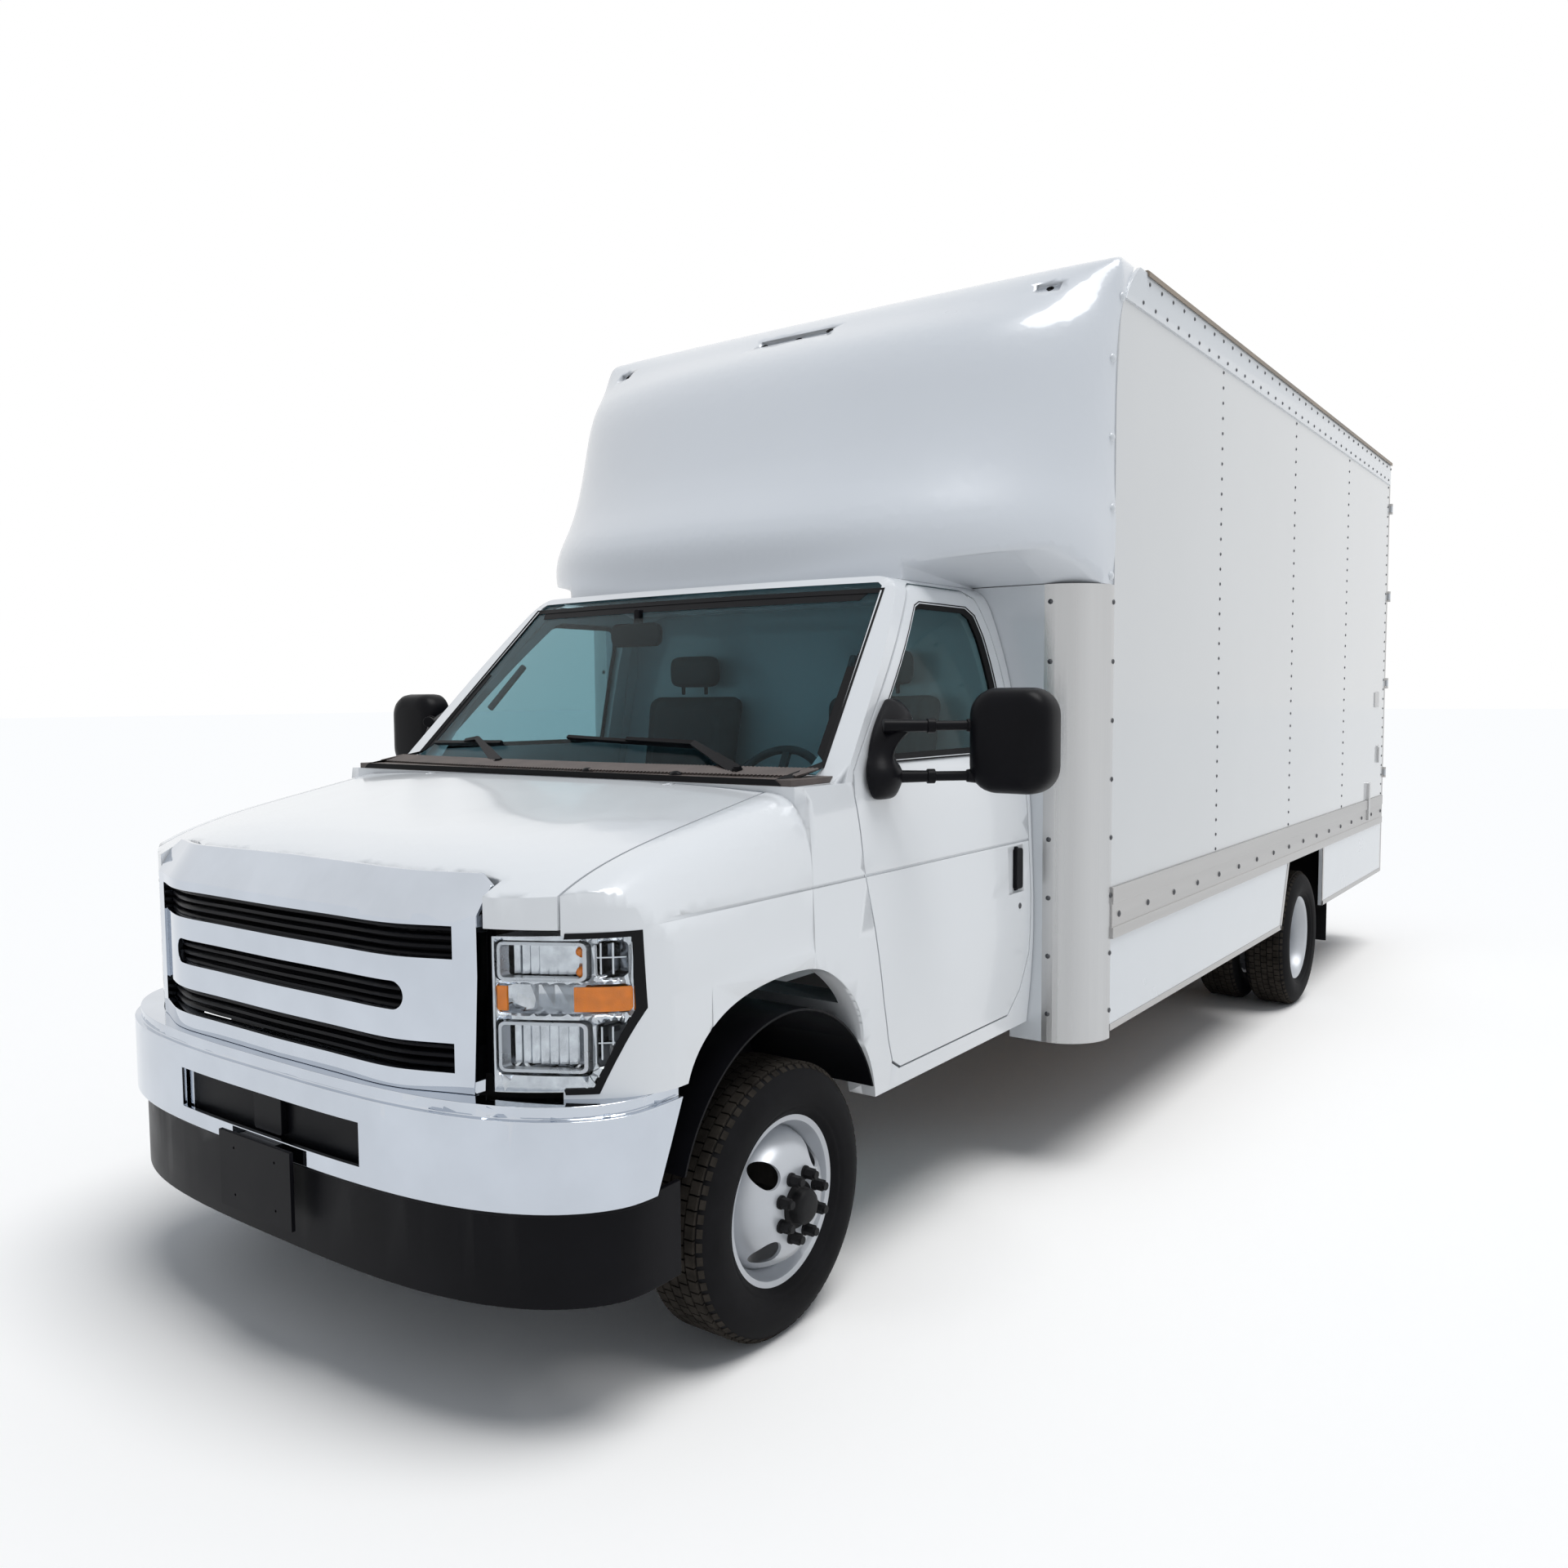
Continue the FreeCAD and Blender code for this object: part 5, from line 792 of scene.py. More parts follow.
frontHub = ((118, 0), (118, 63), (133, 62), (135, 56), (137, 48), (158, 46), (166, 40), (169, 30), (169, 0))
rearHub = ((-10, 0), (-10, 66), (8, 66), (12, 60), (60, 58), (66, 52), (84, 50), (90, 44), (92, 0))
brakeLine = ((-66, 0), (-66, 150), (-40, 150), (-40, 0))
w = wheelSizes
for side, sign in sides:
    cap = side.capitalize()
    for axle, centreX, centreY, offsets, tyreNode, rimNode, tyreName, rimName in (
            ("Front", w["frontX"], frontAxleY, (0,), "tyre_front_", "rim_front_", "tyreFront", "rimFront"),
            ("Rear", w["rearX"], rearAxleY, (-w["pairGap"], w["pairGap"]), "tyres_rear_", "rims_rear_",
             "tyresRear", "rimsRear")):
        body = "wheel_" + axle.lower() + "_" + side
        bm = spun(tyreOutline(), w["steps"])
        placedWheel(bm, sign, centreX, centreY, offsets)
        linkPiece(tyreName + cap, finishMesh(bm, tyreName, 30, True), "rubber", body,
                  (tyreNode + side,))
        fieldPiece(tyreName + cap + "Tread", blockField, treadSpots(sign, centreX, centreY, offsets),
                   (w["blockWidth"], w["blockLength"], w["blockHeight"]), "treadRubber", body)
        fieldPiece(tyreName + cap + "Shoulder", blockField, shoulderSpots(sign, centreX, centreY, offsets),
                   w["shoulderBlock"], "treadRubber", body)
        bm = bmesh.new()
        for shift in offsets:
            flip = -1 if shift > 0 else 1
            for mesh in (withHandHoles(ownMesh(spun(discOutline(flip), w["steps"]), "rimPart")),
                         ownMesh(spun(barrelOutline(flip), w["steps"]), "rimPart")):
                for vert in mesh.vertices:
                    vert.co.x += shift / 1000
                bm.from_mesh(mesh)
        placedWheel(bm, sign, centreX, centreY)
        if sign < 0:
            bmesh.ops.reverse_faces(bm, faces=bm.faces)
        rim = finishMesh(bm, rimName, 40)
        linkPiece(rimName + cap, softened(rim, 0.0015, 2, 50), "wheelSilver", body,
                  (rimNode + side,))
        bm = spun(frontHub if axle == "Front" else rearHub, w["hubSteps"])
        placedWheel(bm, sign, centreX, centreY)
        linkPiece("hub" + axle + cap, softened(ownMesh(bm, "hub"), 0.002, 2, 45), "blackSteel", body)
        spots = []
        for i in range(w["nutCount"]):
            angle = 2 * pi * (i + 0.5) / w["nutCount"]
            place = Vector((sign * (centreX + w["nutBase"][axle]) / 1000,
                            centreY + w["nutCircle"] * cos(angle) / 1000,
                            (w["axleZ"] + w["nutCircle"] * sin(angle)) / 1000))
            spots.append((place, Vector((sign, 0, 0)), yWay))
        fieldPiece("wheelNuts" + axle + cap, nutField, spots, w["nutSize"], "blackSteel", body)
        if axle == "Front":
            bm = spun(brakeLine, w["hubSteps"])
            placedWheel(bm, sign, centreX, centreY)
            linkPiece("brakeDisc" + cap, ownMesh(bm, "brakeDisc"), "castIron", body)
print("wheels ready")

# headlamps

lampSizes = {"outline": ((704.9, 800), (911.3, 807), (978.8, 988), (974.8, 1158.4), (704.9, 1151)),
             "seal": 13, "sealOut": 6, "sealPitch": 12, "bulbs": ((872, 1117), (872, 1071)),
             "bulb": (30, 30, 24), "bulbDepth": 0.036,
             "bezels": ((716, 894, 1053, 1140), (716, 894, 846, 960)), "bezelWidth": 7,
             "bezelCorners": (14, 9), "flutes": 17, "rows": 6}
lampParts = {
    # finish, slot, edge and plates: their corners, depth, thickness, ripple and columns
    "amberReflectors": ("amberLens", "lamp_lens", 0.001, (
        ((868, 968, 984, 1040), 7, 6, 0, 8), ((712, 734, 984, 1040), 7, 6, 0, 4))),
    "lampFlutes": ("lampChrome", "lamp_reflector", 0.0, (
        ((726, 885, 858, 950), 40, 3, 5, 120), ((726, 885, 1062, 1132), 42, 3, 3, 120))),
    "lampRidges": ("lampChrome", "lamp_reflector", 0.0, (
        ((914, 917, 876, 950), 10, 20, 0, 2), ((932, 935, 908, 950), 10, 20, 0, 2),
        ((914, 917, 1068, 1138), 10, 20, 0, 2), ((934, 937, 1068, 1138), 10, 20, 0, 2),
        ((902, 938, 912, 915), 10, 20, 0, 6), ((902, 955, 1104, 1107), 10, 20, 0, 6)))}


def lampShape(bm, sign, corners, deep, thick, ripple, columns):
    # a plate behind the lens: it follows the nose at a given depth, and may be fluted
    x0, x1, z0, z1 = corners
    rows, grid = lampSizes["rows"], []
    for layer in (0, 1):
        for row in range(rows + 1):
            for column in range(columns + 1):
                x = x0 + (x1 - x0) * column / columns
                z = z0 + (z1 - z0) * row / rows
                point, _ = frontHit(("lamp_lenses",), sign * x, z)
                wave = ripple * abs(sin(pi * column / columns * lampSizes["flutes"] / 2))
                grid.append(bm.verts.new(point + Vector((0, (deep + wave + thick * layer) / 1000, 0))))
    wide, tall = columns + 1, rows + 1

    def at(layer, row, column):
        return grid[layer * wide * tall + row * wide + column]

    for layer in (0, 1):
        for row in range(rows):
            for column in range(columns):
                bm.faces.new((at(layer, row, column), at(layer, row, column + 1),
                              at(layer, row + 1, column + 1), at(layer, row + 1, column)))
    for row in range(rows):
        for column in (0, columns):
            bm.faces.new((at(0, row, column), at(0, row + 1, column), at(1, row + 1, column),
                          at(1, row, column)))
    for column in range(columns):
        for row in (0, rows):
            bm.faces.new((at(0, row, column), at(0, row, column + 1), at(1, row, column + 1),
                          at(1, row, column)))


s = lampSizes
for name, (finish, slotName, edge, plates) in lampParts.items():
    bm = bmesh.new()
    for sign in (1, -1):
        for plate in plates:
            lampShape(bm, sign, *plate)
    linkPiece(name, softened(ownMesh(bm, name), edge), finish, "root")
bezelBands, sealBands, bulbSpots, width = [], [], [], s["bezelWidth"]
for sign in (1, -1):
    for x0, x1, z0, z1 in s["bezels"]:
        outer = roundedBox((x0, z0), (x1, z1), s["bezelCorners"][0])
        inner = roundedBox((x0 + width, z0 + width), (x1 - width, z1 - width), s["bezelCorners"][1])
        bezelBands.append((mirrored(outer, sign), mirrored(inner, sign)))
    outer, inner = loopPoints(insetOutline(s["outline"], -s["sealOut"]),
                              insetOutline(s["outline"], s["seal"] - s["sealOut"]), s["sealPitch"])
    sealBands.append((mirrored(outer, sign), mirrored(inner, sign)))
    for x, z in s["bulbs"]:
        point, _ = frontHit(("lamp_lenses",), sign * x, z)
        bulbSpots.append((point + Vector((0, s["bulbDepth"], 0)), Vector((0, -1, 0)), xWay))
ribbonPiece("lampBezels", ("lamp_lenses",), bezelBands, "y", -1, -0.004, 0.026, "lampBezel", "root")
ribbonPiece("lampSeals", ("lamp_lenses", "fenders", "hood", "headlamps"), sealBands, "y", -1, 0.002, 0.006,
            "sealRubber", "root")
fieldPiece("lampBulbs", rivetField, bulbSpots, s["bulb"], "amberLens", "root")
print("headlamps ready")

# windshield edge, cowl, wipers and washer nozzles

screenSizes = {"corners": ((-886, 1452), (886, 1452), (776, 2010), (-776, 2010)), "band": 30, "sealOut": 10,
               "sealIn": 6, "pitch": 40}
corners = screenSizes["corners"]
band = loopPoints(corners, insetOutline(corners, screenSizes["band"]), screenSizes["pitch"])
ribbonPiece("windshieldBand", ("windshield",), (band,), "y", -1, 0.0015, 0.004, "sealRubber", "root")
band = loopPoints(insetOutline(corners, -screenSizes["sealOut"]),
                  insetOutline(corners, screenSizes["sealIn"]), screenSizes["pitch"])
ribbonPiece("windshieldSeal", ("windshield", "cab_shell", "cowl_panel"), (band,), "y", -1, 0.004, 0.008,
            "sealRubber", "root")

cowlSizes = {"half": 900, "pitch": 13, "slat": (88, 6.5, 5), "y": 150, "bow": 60, "lift": 0.011,
             "facing": (0.35, -0.28, 1), "along": (0.25, 1, 0.28), "above": 3000}
c = cowlSizes
slatSpots = []
for x in evenly(-c["half"], c["half"], c["pitch"]):
    bowed = c["y"] + c["bow"] * (x / c["half"]) ** 2
    point, _ = hitFrom(("cowl_panel",), spot(x, bowed, c["above"]), Vector((0, 0, -1)))
    if point is not None:
        slatSpots.append((point + Vector((0, 0, c["lift"])), Vector(c["facing"]).normalized(),
                          Vector(c["along"])))
fieldPiece("cowlSlats", blockField, slatSpots, c["slat"], "cowlPlastic", "root")

wiperSizes = {"pivotY": 180, "pivotZ": 1470, "elbowZ": 1526, "widest": 860, "armLift": 0.024, "bladeParts": 8,
              "glassOut": (0, -0.0175, 0.017),
              # pivot, elbow, blade's two ends and their heights
              "sets": ((685, 430, -107, 436, 1544, 1525), (-307, -553, -815, -420, 1514, 1522)),
              # each arm's rods: width, depth and taper; each blade's two bars: lift, width and depth
              "rods": ((0.034, 0.016, 0.85), (0.026, 0.012, 0.7), (0.016, 0.008, 0.8)),
              "bars": ((0.013, 0.012, 0.010), (0.005, 0.003, 0.010)), "hubZ": 1457, "hub": (34, 34, 26),
              "nozzleX": (159, 509), "nozzle": (44, 30, 12)}


def glassSpot(x, z, lift):
    widest = wiperSizes["widest"]
    point, _ = frontHit(("windshield",), max(-widest, min(widest, x)), z)
    return point + Vector(wiperSizes["glassOut"]).normalized() * lift


def rodBetween(bm, start, end, width, depth, taper=1.0):
    # a flat bar from point to point, standing on edge
    along = (end - start).normalized()
    across = along.cross(Vector((0, -0.7, 0.7))).normalized()
    up = across.cross(along).normalized()
    rings = []
    for point, share in ((start, 1.0), (end, taper)):
        rings.append([bm.verts.new(point + across * (a * width / 2 * share) + up * (b * depth / 2 * share))
                      for a, b in ((-1, -1), (1, -1), (1, 1), (-1, 1))])
    bm.faces.new(reversed(rings[0]))
    bm.faces.new(rings[1])
    joinRings(bm, *rings)


w = wiperSizes
bm = bmesh.new()
for pivotX, elbowX, x0, x1, z0, z1 in w["sets"]:
    foot = spot(pivotX, w["pivotY"], w["pivotZ"])
    bend = glassSpot(elbowX, w["elbowZ"], w["armLift"])
    hold = glassSpot((x0 + x1) / 2, (z0 + z1) / 2, w["armLift"])
    for start, end, rod in zip((foot, foot.lerp(bend, 0.48), bend), (foot.lerp(bend, 0.5), bend, hold),
                               w["rods"]):
        rodBetween(bm, start, end, *rod)
    parts = w["bladeParts"]
    for k in range(parts):
        ends = [(x0 + (x1 - x0) * n / parts, z0 + (z1 - z0) * n / parts) for n in (k, k + 1)]
        for lift, width, depth in w["bars"]:
            rodBetween(bm, glassSpot(*ends[0], lift), glassSpot(*ends[1], lift), width, depth)
linkPiece("wiperArms", softened(finishMesh(bm, "wiperArms", 30, True), 0.002, 2, 30), "blackPlastic", "root",
          ("wipers",))
hubSpots = [(spot(row[0], w["pivotY"], w["hubZ"]), zWay, xWay) for row in w["sets"]]
fieldPiece("wiperHubs", nutField, hubSpots, w["hub"], "blackPlastic", "root")
nozzles = [(spot(x, 118, 1458), Vector((0, -0.2, 1)).normalized(), xWay) for x in w["nozzleX"]]
fieldPiece("washerNozzles", rivetField, nozzles, w["nozzle"], "blackPlastic", "root")
print("windshield, cowl and wipers ready")

# door trim: window seals, handles, locks and mirrors

doorShares = {"window": ((0.11, 0.625), (0.126, 0.651), (0.518, 0.949), (0.55, 0.958), (0.833, 0.958),
                         (0.874, 0.941), (0.89, 0.892), (0.897, 0.782), (0.897, 0.625)),
              "frontY": 330, "rearY": 1440, "lowZ": 585, "highZ": 2036, "seal": 17}
windowWide, windowTall = doorShares["rearY"] - doorShares["frontY"], doorShares["highZ"] - doorShares["lowZ"]
windowLine = [(doorShares["frontY"] + windowWide * a, doorShares["lowZ"] + windowTall * b)
              for a, b in reversed(doorShares["window"])]
handleSizes = {"y": (1318, 1368), "z": (1014, 1154), "probe": (1400, 1090), "lock": (1340, 956),
               "lockSize": (22, 22, 5)}
mirrorSizes = {"headX": (1180, 1430), "headY": (590, 700), "headZ": (1400, 1700), "corner": 78,
               "cornerSteps": 8, "lip": (0.93, 0.94), "well": 12, "glassIn": 16, "armZ": (1450, 1594),
               "armFrom": (1000, 448), "armTo": (1215, 640),
               "levels": ((0, 0.62), (0.04, 0.76), (0.12, 0.88), (0.28, 0.965), (0.5, 1), (0.85, 1),
                          (1, 0.985)),
               # the arm's rods: from and to as shares of its length, radius at both ends
               "armRods": ((0, 0.48, 0.019, 0.01634), (0.44, 0.52, 0.021, 0.021), (0.4, 1, 0.014, 0.014),
                           (0.84, 1, 0.018, 0.024))}


def capsuleRod(bm, start, end, radiusA, radiusB, steps=20):
    along = (end - start).normalized()
    across = along.cross(Vector((0, 0, 1))).normalized()
    up = across.cross(along)
    rings = []
    turns = [2 * pi * i / steps for i in range(steps)]
    for point, radius in ((start, radiusA), (end, radiusB)):
        rings.append([bm.verts.new(point + (across * cos(turn) + up * sin(turn)) * radius) for turn in turns])
    bm.faces.new(reversed(rings[0]))
    bm.faces.new(rings[1])
    joinRings(bm, *rings)


footRows = ((1384, 425, 505, 14), (1392, 398, 512, 40), (1420, 382, 516, 62), (1450, 372, 522, 86),
            (1480, 384, 522, 76), (1505, 408, 520, 66), (1540, 428, 528, 78), (1575, 452, 548, 108),
            (1600, 478, 560, 118), (1630, 512, 585, 96), (1660, 560, 602, 58), (1672, 574, 602, 26))


def mirrorBase(bm, sign):
    # the flared foot on the door's front corner: sections up its height, each standing out from the skin
    rings, steps = [], 16
    for z, y0, y1, out in footRows:
        ring, skin = [], 0.93
        for i in range(steps):
            angle = pi * i / (steps - 1)
            y = (y0 + y1) / 2 + (y1 - y0) / 2 * cos(angle)
            point, _ = sideHit(("door_left", "door_glass_left", "cab_shell", "fenders"), 1, y, z)
            skin = point.x if point is not None else skin
            reach = skin * 1000 + 2 + out * max(0.0, sin(angle)) ** 0.7
            ring.append(bm.verts.new(spot(sign * reach, y, z)))
        rings.append(ring)
    for first, second in zip(rings, rings[1:]):
        joinRings(bm, first, second)
    bm.faces.new(rings[0])
    bm.faces.new(rings[-1])


def mirrorHead(bm, sign):
    # a rounded shell, fuller at its front and cut square at its glass side
    m = mirrorSizes
    (x0, x1), (y0, y1), (z0, z1) = m["headX"], m["headY"], m["headZ"]
    middleX, middleZ = (x0 + x1) / 2, (z0 + z1) / 2
    outline = roundedBox((x0, z0), (x1, z1), m["corner"], m["cornerSteps"])

    def ring(wide, tall, y):
        return [bm.verts.new(spot(sign * (middleX + (a - middleX) * wide), y, middleZ + (b - middleZ) * tall))
                for a, b in outline]

    rings = [ring(share, 0.1 + 0.9 * share, y0 + (y1 - y0) * depth) for depth, share in m["levels"]]
    rings += [ring(*m["lip"], y) for y in (y1, y1 - m["well"])]
    for first, second in zip(rings, rings[1:]):
        joinRings(bm, first, second)
    bm.faces.new(rings[0])
    bm.faces.new(rings[-1])


for side, sign in sides:
    cap = side.capitalize()
    body, doorNodes = "door_" + side, ("door_" + side, "door_glass_" + side)
    band = loopPoints(insetOutline(windowLine, -7), insetOutline(windowLine, doorShares["seal"]), 30)
    ribbonPiece("windowSeal" + cap, doorNodes, (band,), "x", sign, 0.003, 0.012, "sealRubber", body)
    (y0, y1), (z0, z1) = handleSizes["y"], handleSizes["z"]
    top = sideHit(("door_" + side,), sign, *handleSizes["probe"])[0].x * 1000 * sign
    paddle = ((y0, z0), (y1, z1), 10, "x", top - 14, top + 3)
    grip = ((y0 + 8, z0 - 6), (y0 + 30, z1 + 6), 5, "x", top - 15, top - 6)
    prismPiece("doorHandle" + cap, boxParts((paddle, grip), sign), "blackPlastic", body,
               0.003, 3)
    lockPoint, lockFace = sideHit(("door_" + side,), sign, *handleSizes["lock"])
    fieldPiece("doorLock" + cap, rivetField, [(lockPoint, lockFace, yWay)], handleSizes["lockSize"],
               "rivetSteel", body)
    m = mirrorSizes
    bm = bmesh.new()
    mirrorHead(bm, sign)
    shell = softened(finishMesh(bm, "mirror", 34, True), 0.003, 2, 50)
    linkPiece("mirror" + cap, shell, "blackPlastic", body, ("mirror_" + side,))
    bm = bmesh.new()
    mirrorBase(bm, sign)
    foot = withTool(finishMesh(bm, "mirrorFoot", 60, True), "SUBSURF", levels=1, render_levels=1)
    linkPiece("mirrorFoot" + cap, foot, "blackPlastic", body)
    bm = bmesh.new()
    for z in m["armZ"]:
        (x0, y0), (x1, y1) = m["armFrom"], m["armTo"]
        start, end = spot(sign * x0, y0, z), spot(sign * x1, y1, z)
        for low, high, radiusA, radiusB in m["armRods"]:
            capsuleRod(bm, start.lerp(end, low), start.lerp(end, high), radiusA, radiusB)
    linkPiece("mirrorArms" + cap, softened(ownMesh(bm, "mirrorArms"), 0.002, 2, 50), "blackPlastic", body)
    (x0, x1), (z0, z1) = m["headX"], m["headZ"]
    glassY, inset = m["headY"][1] - 10, m["glassIn"]
    panes = []
    for low, high, corner in ((z0 + 100, z1 - 15, 40), (z0 + inset, z0 + 92, 34)):
        pane = roundedBox((x0 + inset, low), (x1 - inset, high), corner)
        panes.append((mirrored(pane, sign), "y", glassY - 3, glassY))
    prismPiece("mirrorGlass" + cap, panes, "mirrorGlass", body, 0.0008)
print("doors and mirrors ready")

# box body: rivets, bolts, drip edge and skirt trim

boxSizes = {"seams": (2850, 4078, 5308, 6488), "rivetPitch": 63, "lowZ": 1012, "highZ": 3030,
            "railRows": (3072, 3150), "railSpan": (1900, 6480), "railPitch": 128, "railBack": 40,
            "capPitch": 222, "corner": (560, 2000, 205), "cornerY": 1630, "cornerX": 1060, "boltZ": 897,
            "bolts": (1700, 6460, 300), "dripSpan": (1900, 6512), "trimWidth": 24, "trimX": (1217.5, 1222),
            "capLine": ((1613, 2090), (1613, 2700), (1626, 2900), (1676, 3040), (1752, 3120)),
            "drip": ((1205, 3180), (1228, 3180), (1231, 3172), (1236, 3172), (1236, 3190), (1228, 3196),
                     (1205, 3196)),
            "trimLines": (((1636, 484), (3974, 484), (4114, 812)), ((4855, 812), (4855, 484), (6510, 484))),
            "hooks": (((6030, 870), (6062, 1110), 6, "x", 1214, 1236),
                      ((6330, 1225), (6346, 1330), 4, "x", 1217, 1232),
                      ((6318, 1310), (6362, 1340), 4, "x", 1217, 1226),
                      ((6200, 1590), (6330, 1690), 5, "x", 1217, 1224)),
            "grommets": ((-165, 3063), (0, 3063), (165, 3063), (-995, 3092), (995, 3092)), "grommetShift": 14,
            "grommet": (30, 30, 24)}
rivetRows = {"seamRivets": ((15, 15, 4), "rivetSteel", "aluminium"),
             "railRivets": ((16, 16, 4.5), "rivetSteel", "aluminium"),
             "capRivets": ((34, 34, 10), "railPaint", "white_paint"),
             "cornerRivets": ((19, 19, 5), "rivetSteel", "aluminium"),
             "rubRailBolts": ((25, 25, 6), "rivetSteel", "aluminium")}
b = boxSizes
for side, sign in sides:
    cap = side.capitalize()
    spots = {name: [] for name in rivetRows}
    for y in b["seams"]:
        for z in evenly(b["lowZ"], b["highZ"], b["rivetPitch"]):
            spots["seamRivets"] += rowOnSide(("box_sides",), ((y, z),), sign)
    for z, shift in zip(b["railRows"], (0, 0.5)):
        for y in evenly(*b["railSpan"], b["railPitch"]):
            spots["railRivets"] += rowOnSide(("roof_rails",),
                                             ((y + shift * b["railPitch"] - b["railBack"], z),), sign)
    capLine = smoothLine(b["capLine"], 12)
    covered = b["capPitch"]
    for first, second in zip(capLine, capLine[1:]):
        covered += (Vector(second) - Vector(first)).length
        if covered >= b["capPitch"]:
            covered = 0
            spots["capRivets"] += rowOnSide(("front_cap",), (first,), sign)
    for z in evenly(*b["corner"]):
        spots["cornerRivets"] += rowOnSide(("corner_posts",), ((b["cornerY"], z),), sign)
        point, _ = frontHit(("corner_posts",), sign * b["cornerX"], z)
        if point is not None:
            spots["cornerRivets"].append((point, Vector((0, -1, 0)), xWay))
    spots["rubRailBolts"] = rowOnSide(("rub_rails",), [(y, b["boltZ"]) for y in evenly(*b["bolts"])], sign)
    for name, (size, finish, slotName) in rivetRows.items():
        fieldPiece(name + cap, rivetField, spots[name], size, finish, "root")
    drip = (mirrored(b["drip"], sign), "y", *b["dripSpan"])
    prismPiece("dripEdge" + cap, (drip,), "dripBronze", "root", 0.0015)
    trim = []
    for line in b["trimLines"]:
        for (ya, za), (yb, zb) in zip(line, line[1:]):
            along = (Vector((yb, zb)) - Vector((ya, za))).normalized()
            across = Vector((-along.y, along.x)) * b["trimWidth"]
            trim.append(([(ya, za), (yb, zb), (yb + across.x, zb + across.y), (ya + across.x, za + across.y)],
                         "x", *sorted(sign * x for x in b["trimX"])))
    prismPiece("skirtTrim" + cap, trim, "railAluminium", "root", 0.001)
    prismPiece("sideHooks" + cap, boxParts(b["hooks"], sign), "aluminium", "root", 0.002)

grommets = []
for x, z in b["grommets"]:
    # the line beside the hole meets the skin, and the ring moves back over the hole
    point, normal = frontHit(("front_cap",), x + b["grommetShift"], z)
    grommets.append((point - Vector((b["grommetShift"] / 1000, 0, 0)), normal, xWay))


def ringShape(nodes, links):
    curves = []
    for sides, radius in ((20, 0.36), (8, 0.14)):
        circle, line = nodes.new("GeometryNodeMeshCircle"), nodes.new("GeometryNodeMeshToCurve")
        circle.inputs["Vertices"].default_value, circle.inputs["Radius"].default_value = sides, radius
        links.new(circle.outputs["Mesh"], line.inputs["Mesh"])
        curves.append(line.outputs["Curve"])
    sweep = nodes.new("GeometryNodeCurveToMesh")
    links.new(curves[0], sweep.inputs["Curve"])
    links.new(curves[1], sweep.inputs["Profile Curve"])
    return sweep.outputs["Mesh"]


fieldPiece("capGrommets", fieldTree("ringField", ringShape), grommets, b["grommet"], "sealRubber", "root")
print("box body ready")

# cab inside, and a black sheet behind the bumper that stands in for shade

seatSizes = {"x": 450, "half": 258, "frontY": 852, "rearY": 1322, "lowZ": 962, "highZ": 1092,
             "backLowZ": 1096, "backHighZ": 1708, "backThick": 120, "lean": 110, "voxel": 0.012,
             "swell": 0.014, "pressure": 4.0, "frames": 20, "quality": 4, "coverMass": 0.4, "groove": 0.009,
             "facing": 0.35}
insideParts = {
    # finish, slot, edge, edge steps and rounded boxes
    "cabMirror": ("blackPlastic", "black_plastic", 0.004, 3, (
        ((-290, 1858), (-62, 1940), 30, "y", 700, 724), ((-190, 1925), (-165, 1992), 8, "y", 712, 738))),
    # a black sheet behind the bumper's opening, with a small block before it: the sheet is painted shade,
    # standing in for the dark hollow there
    "bumperScreen": ("blackPlastic", "black_plastic", 0.002, 2, (
        ((-470, 575), (470, 745), 10, "y", -846, -838), ((-60, 600), (60, 730), 10, "y", -864, -846))),
    "dashTrim": ("trimGrey", "trim_grey", 0.006, 3, (
        ((250, 1395), (610, 1432), 14, "y", 480, 604), ((-160, 1180), (160, 1390), 16, "y", 540, 562),
        ((-560, 1240), (-240, 1380), 20, "y", 548, 566)))}


def padMesh(name, low, high, corner, shear=0.0):
    # a crowned block with rounded corners, sheared back where a seat back leans
    bm = bmesh.new()
    bmesh.ops.create_cube(bm, size=1)
    size = Vector(high) - Vector(low)
    for vert in bm.verts:
        vert.co = Vector([l + (c + 0.5) * d for l, c, d in zip(low, vert.co, size)])
        vert.co.y += shear * (vert.co.z - low[2])
        vert.co = spot(*vert.co)
    mesh = softened(finishMesh(bm, name, outward=True), corner, 5, 20)
    return withTool(mesh, "REMESH", mode="VOXEL", voxel_size=seatSizes["voxel"], use_smooth_shade=True)


def puffed(mesh):
    # air pressure swells the cover for a moment, and no point moves further than the swell allowed
    before = [v.co.copy() for v in mesh.vertices]
    pad = inScene("pad", mesh)
    cloth = pad.modifiers.new("cloth", "CLOTH")
    cloth.settings.quality = seatSizes["quality"]
    cloth.settings.mass = seatSizes["coverMass"]
    cloth.settings.use_pressure = True
    cloth.settings.uniform_pressure_force = seatSizes["pressure"]
    cloth.settings.effector_weights.gravity = 0
    cloth.point_cache.frame_start, cloth.point_cache.frame_end = 1, seatSizes["frames"]
    scene = bpy.context.scene
    for number in range(1, seatSizes["frames"] + 1):
        scene.frame_set(number)
    result = baked(pad)
    scene.frame_set(1)
    for vert, start in zip(result.vertices, before):
        step = vert.co - start
        if step.length > seatSizes["swell"]:
            vert.co = start + step.normalized() * seatSizes["swell"]
    return result


def sewnLines(mesh, acrossX, acrossZ, centreX, axis, facing):
    # channels pressed into the face that carries the sitter
    groove = seatSizes["groove"]
    for vert in mesh.vertices:
        if vert.normal[1 if axis == "z" else 2] * facing < seatSizes["facing"]:
            continue
        x = vert.co.x - centreX
        level = vert.co.z if axis == "z" else vert.co.y
        deep = sum(2.718 ** (-((abs(x) - line) / groove) ** 2) for line in acrossX)
        deep += sum(2.718 ** (-((level - line) / groove) ** 2) for line in acrossZ if abs(x) < acrossX[0])
        vert.co -= vert.normal * groove * min(1.0, deep)
    return mesh


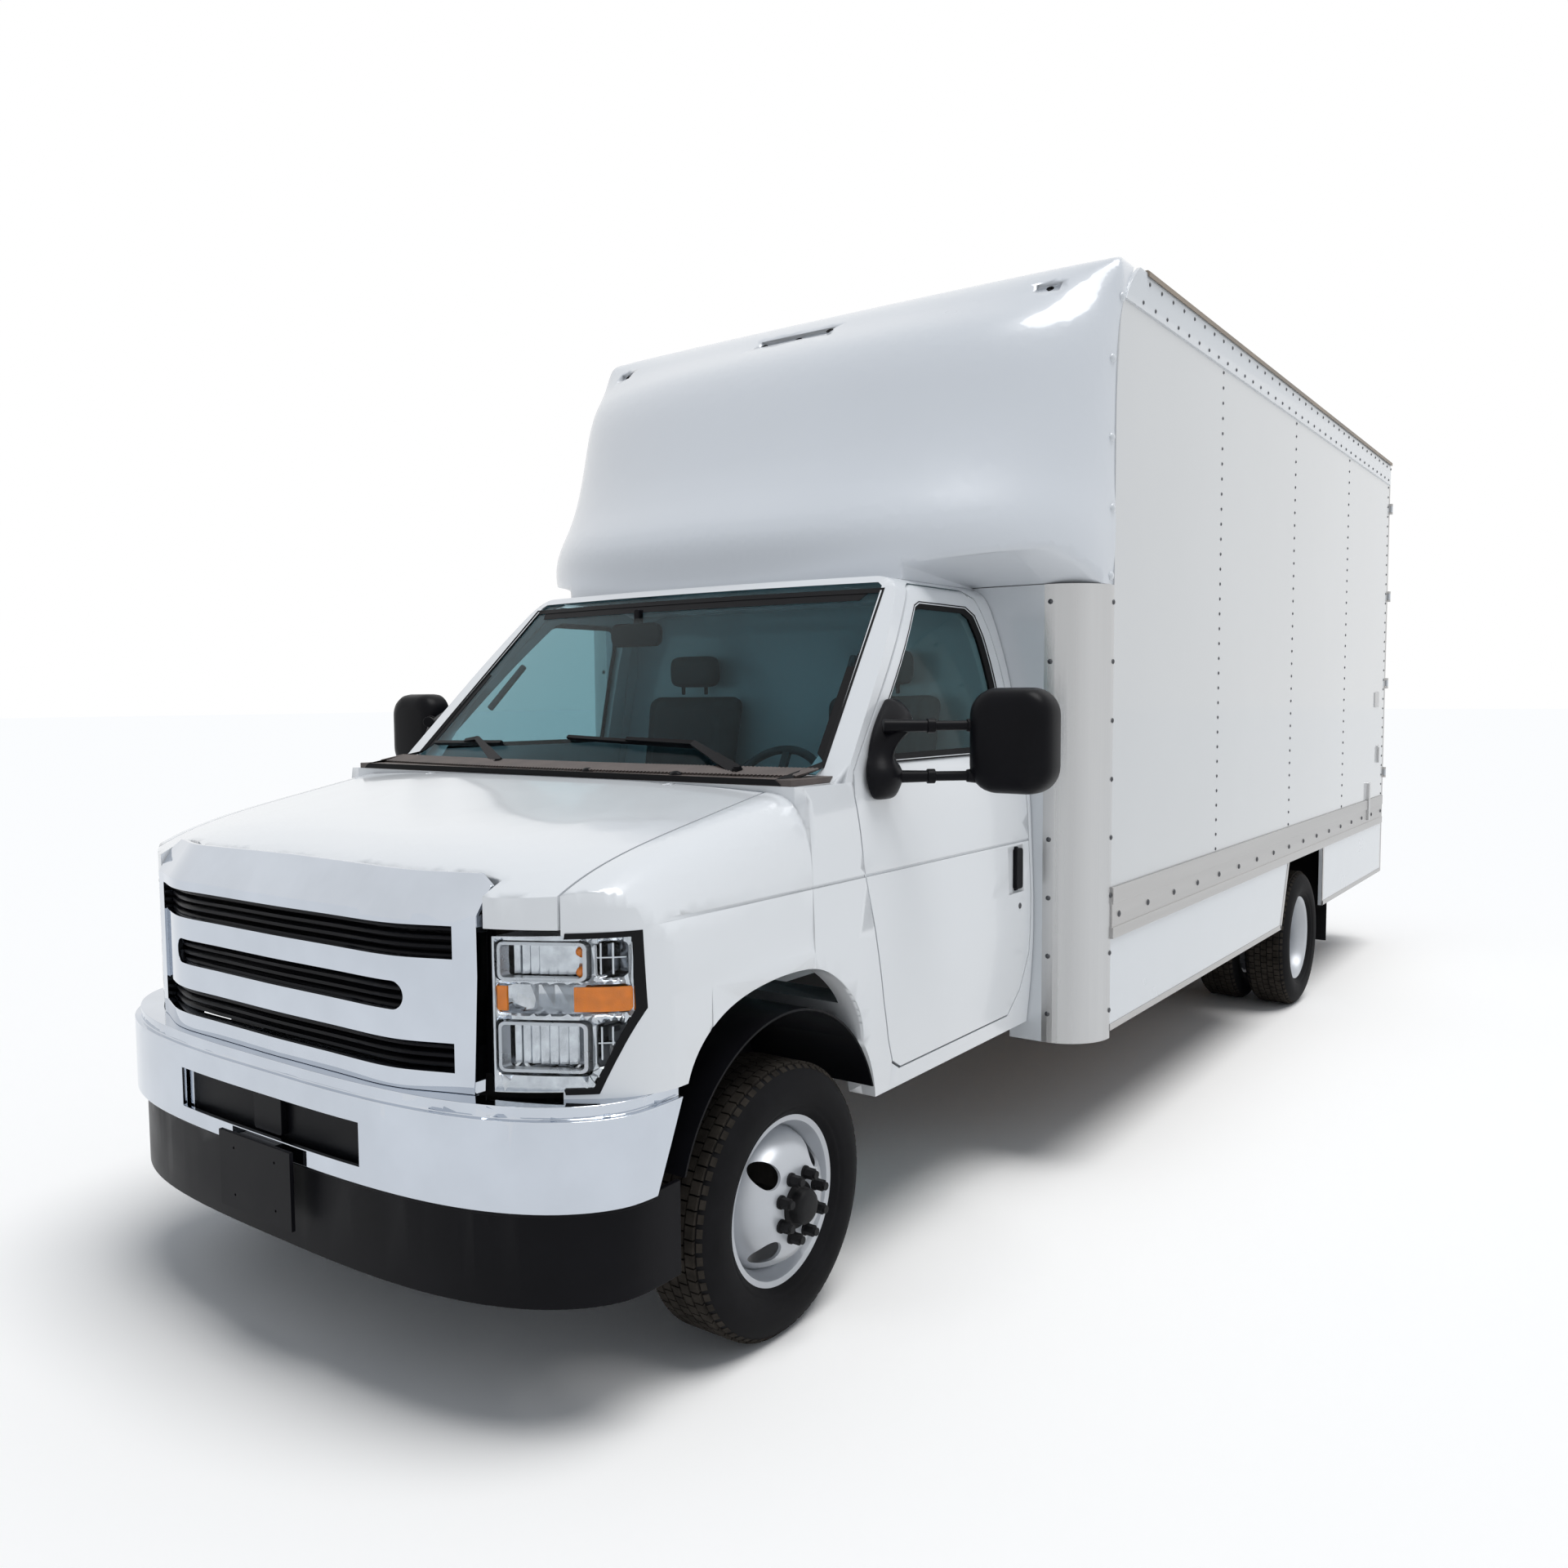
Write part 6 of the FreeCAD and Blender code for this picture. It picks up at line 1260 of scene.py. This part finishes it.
def makeSeats():
    s = seatSizes
    middle = s["x"] / 1000
    x0, x1 = s["x"] - s["half"] + 10, s["x"] + s["half"] - 10
    backY = s["rearY"] - s["backThick"]
    slope = s["lean"] / (s["backHighZ"] - s["backLowZ"])
    pads = {
        "seatCushion": padMesh("cushion", (x0, s["frontY"] + 10, s["lowZ"]),
                               (x1, s["rearY"] - 8, s["highZ"] - 12), 0.045),
        "seatBack": padMesh("back", (x0 + 12, backY + 8, s["backLowZ"]),
                            (x1 - 12, s["rearY"] - 8, s["backHighZ"] - 14), 0.045, slope),
        "headRest": padMesh("head", (s["x"] - 118, backY + s["lean"] + 8, s["backHighZ"] + 12),
                            (s["x"] + 118, backY + s["lean"] + 88, s["backHighZ"] + 138), 0.035)}
    for label, mesh in pads.items():
        mesh = puffed(mesh)
        if label == "seatCushion":
            mesh = sewnLines(mesh, (0.17,), (spot(0, 1010, 0).y, spot(0, 1160, 0).y), middle, "y", 1)
        elif label == "seatBack":
            mesh = sewnLines(mesh, (0.165,), (1.30, 1.48), middle, "z", -1)
        mesh = withTool(mesh, "SUBSURF", levels=1, render_levels=1)
        mesh.shade_smooth()
        for side, sign in sides:
            copy = mesh.copy()
            if sign < 0:
                copy.transform(Matrix.Scale(-1, 4, (1, 0, 0)))
                copy.flip_normals()
            piece = linkPiece(label + side.capitalize(), copy, "seatCloth", "root")
    frames = []
    for side, sign in sides:
        low, high = sorted((sign * (s["x"] - 200), sign * (s["x"] + 200)))
        frames.append((roundedBox((low, 900), (high, 1285), 30), "z", 821, s["lowZ"] + 4))
        for post in (-60, 60):
            x, y = sign * s["x"] + post, backY + s["lean"]
            frames.append((roundedBox((x - 7, y + 38), (x + 7, y + 52), 5), "z", 1690, 1740))
    base = prismPiece("seatFrames", frames, "blackPlastic", "root", 0.004)
    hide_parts("seats")


makeSeats()
for name, (finish, slotName, edge, steps, boxes) in insideParts.items():
    prismPiece(name, boxParts(boxes), finish, "root", edge, steps)
bm = bmesh.new()
for x in (-1, 1):
    capsuleRod(bm, spot(x * 780, 560, 1640), spot(x * 742, 700, 1800), 0.012, 0.012)
linkPiece("grabHandles", softened(ownMesh(bm, "grabHandles"), 0.004), "trimGrey", "root")
print("cab inside ready")

# rear doors: lock handles and hinge bolts

rearSizes = {"lowZ": 986, "highZ": 3042, "hinges": (0.08, 0.37, 0.65, 0.93), "boltX": (960, 1040, 1120),
             "behind": 9000, "bolt": (16, 16, 9),
             "lever": ((52, 1300), (76, 1300), (330, 1286), (330, 1262), (52, 1268)), "leverY": (6566, 6580),
             "catchX": 300, "catchHalf": 24, "catchZ": (1230, 1320), "catchY": (6549, 6567)}
r = rearSizes
for side, sign in sides:
    cap = side.capitalize()
    body = "rear_door_" + side
    straps = []
    for share in r["hinges"]:
        z = r["lowZ"] + (r["highZ"] - r["lowZ"]) * share
        for x in r["boltX"]:
            point, _ = hitFrom((body,), spot(sign * x, r["behind"], z), Vector((0, -1, 0)))
            straps.append((point, yWay, xWay))
    fieldPiece("hingeBolts" + cap, nutField, straps, r["bolt"], "rivetSteel", body)
    middle, half, (z0, z1) = sign * r["catchX"], r["catchHalf"], r["catchZ"]
    lever = (mirrored(r["lever"], sign), "y", *r["leverY"])
    catch = (roundedBox((middle - half, z0), (middle + half, z1), 6), "y", *r["catchY"])
    prismPiece("lockHandle" + cap, (lever, catch), "railAluminium", body, 0.002)
print("rear doors ready")
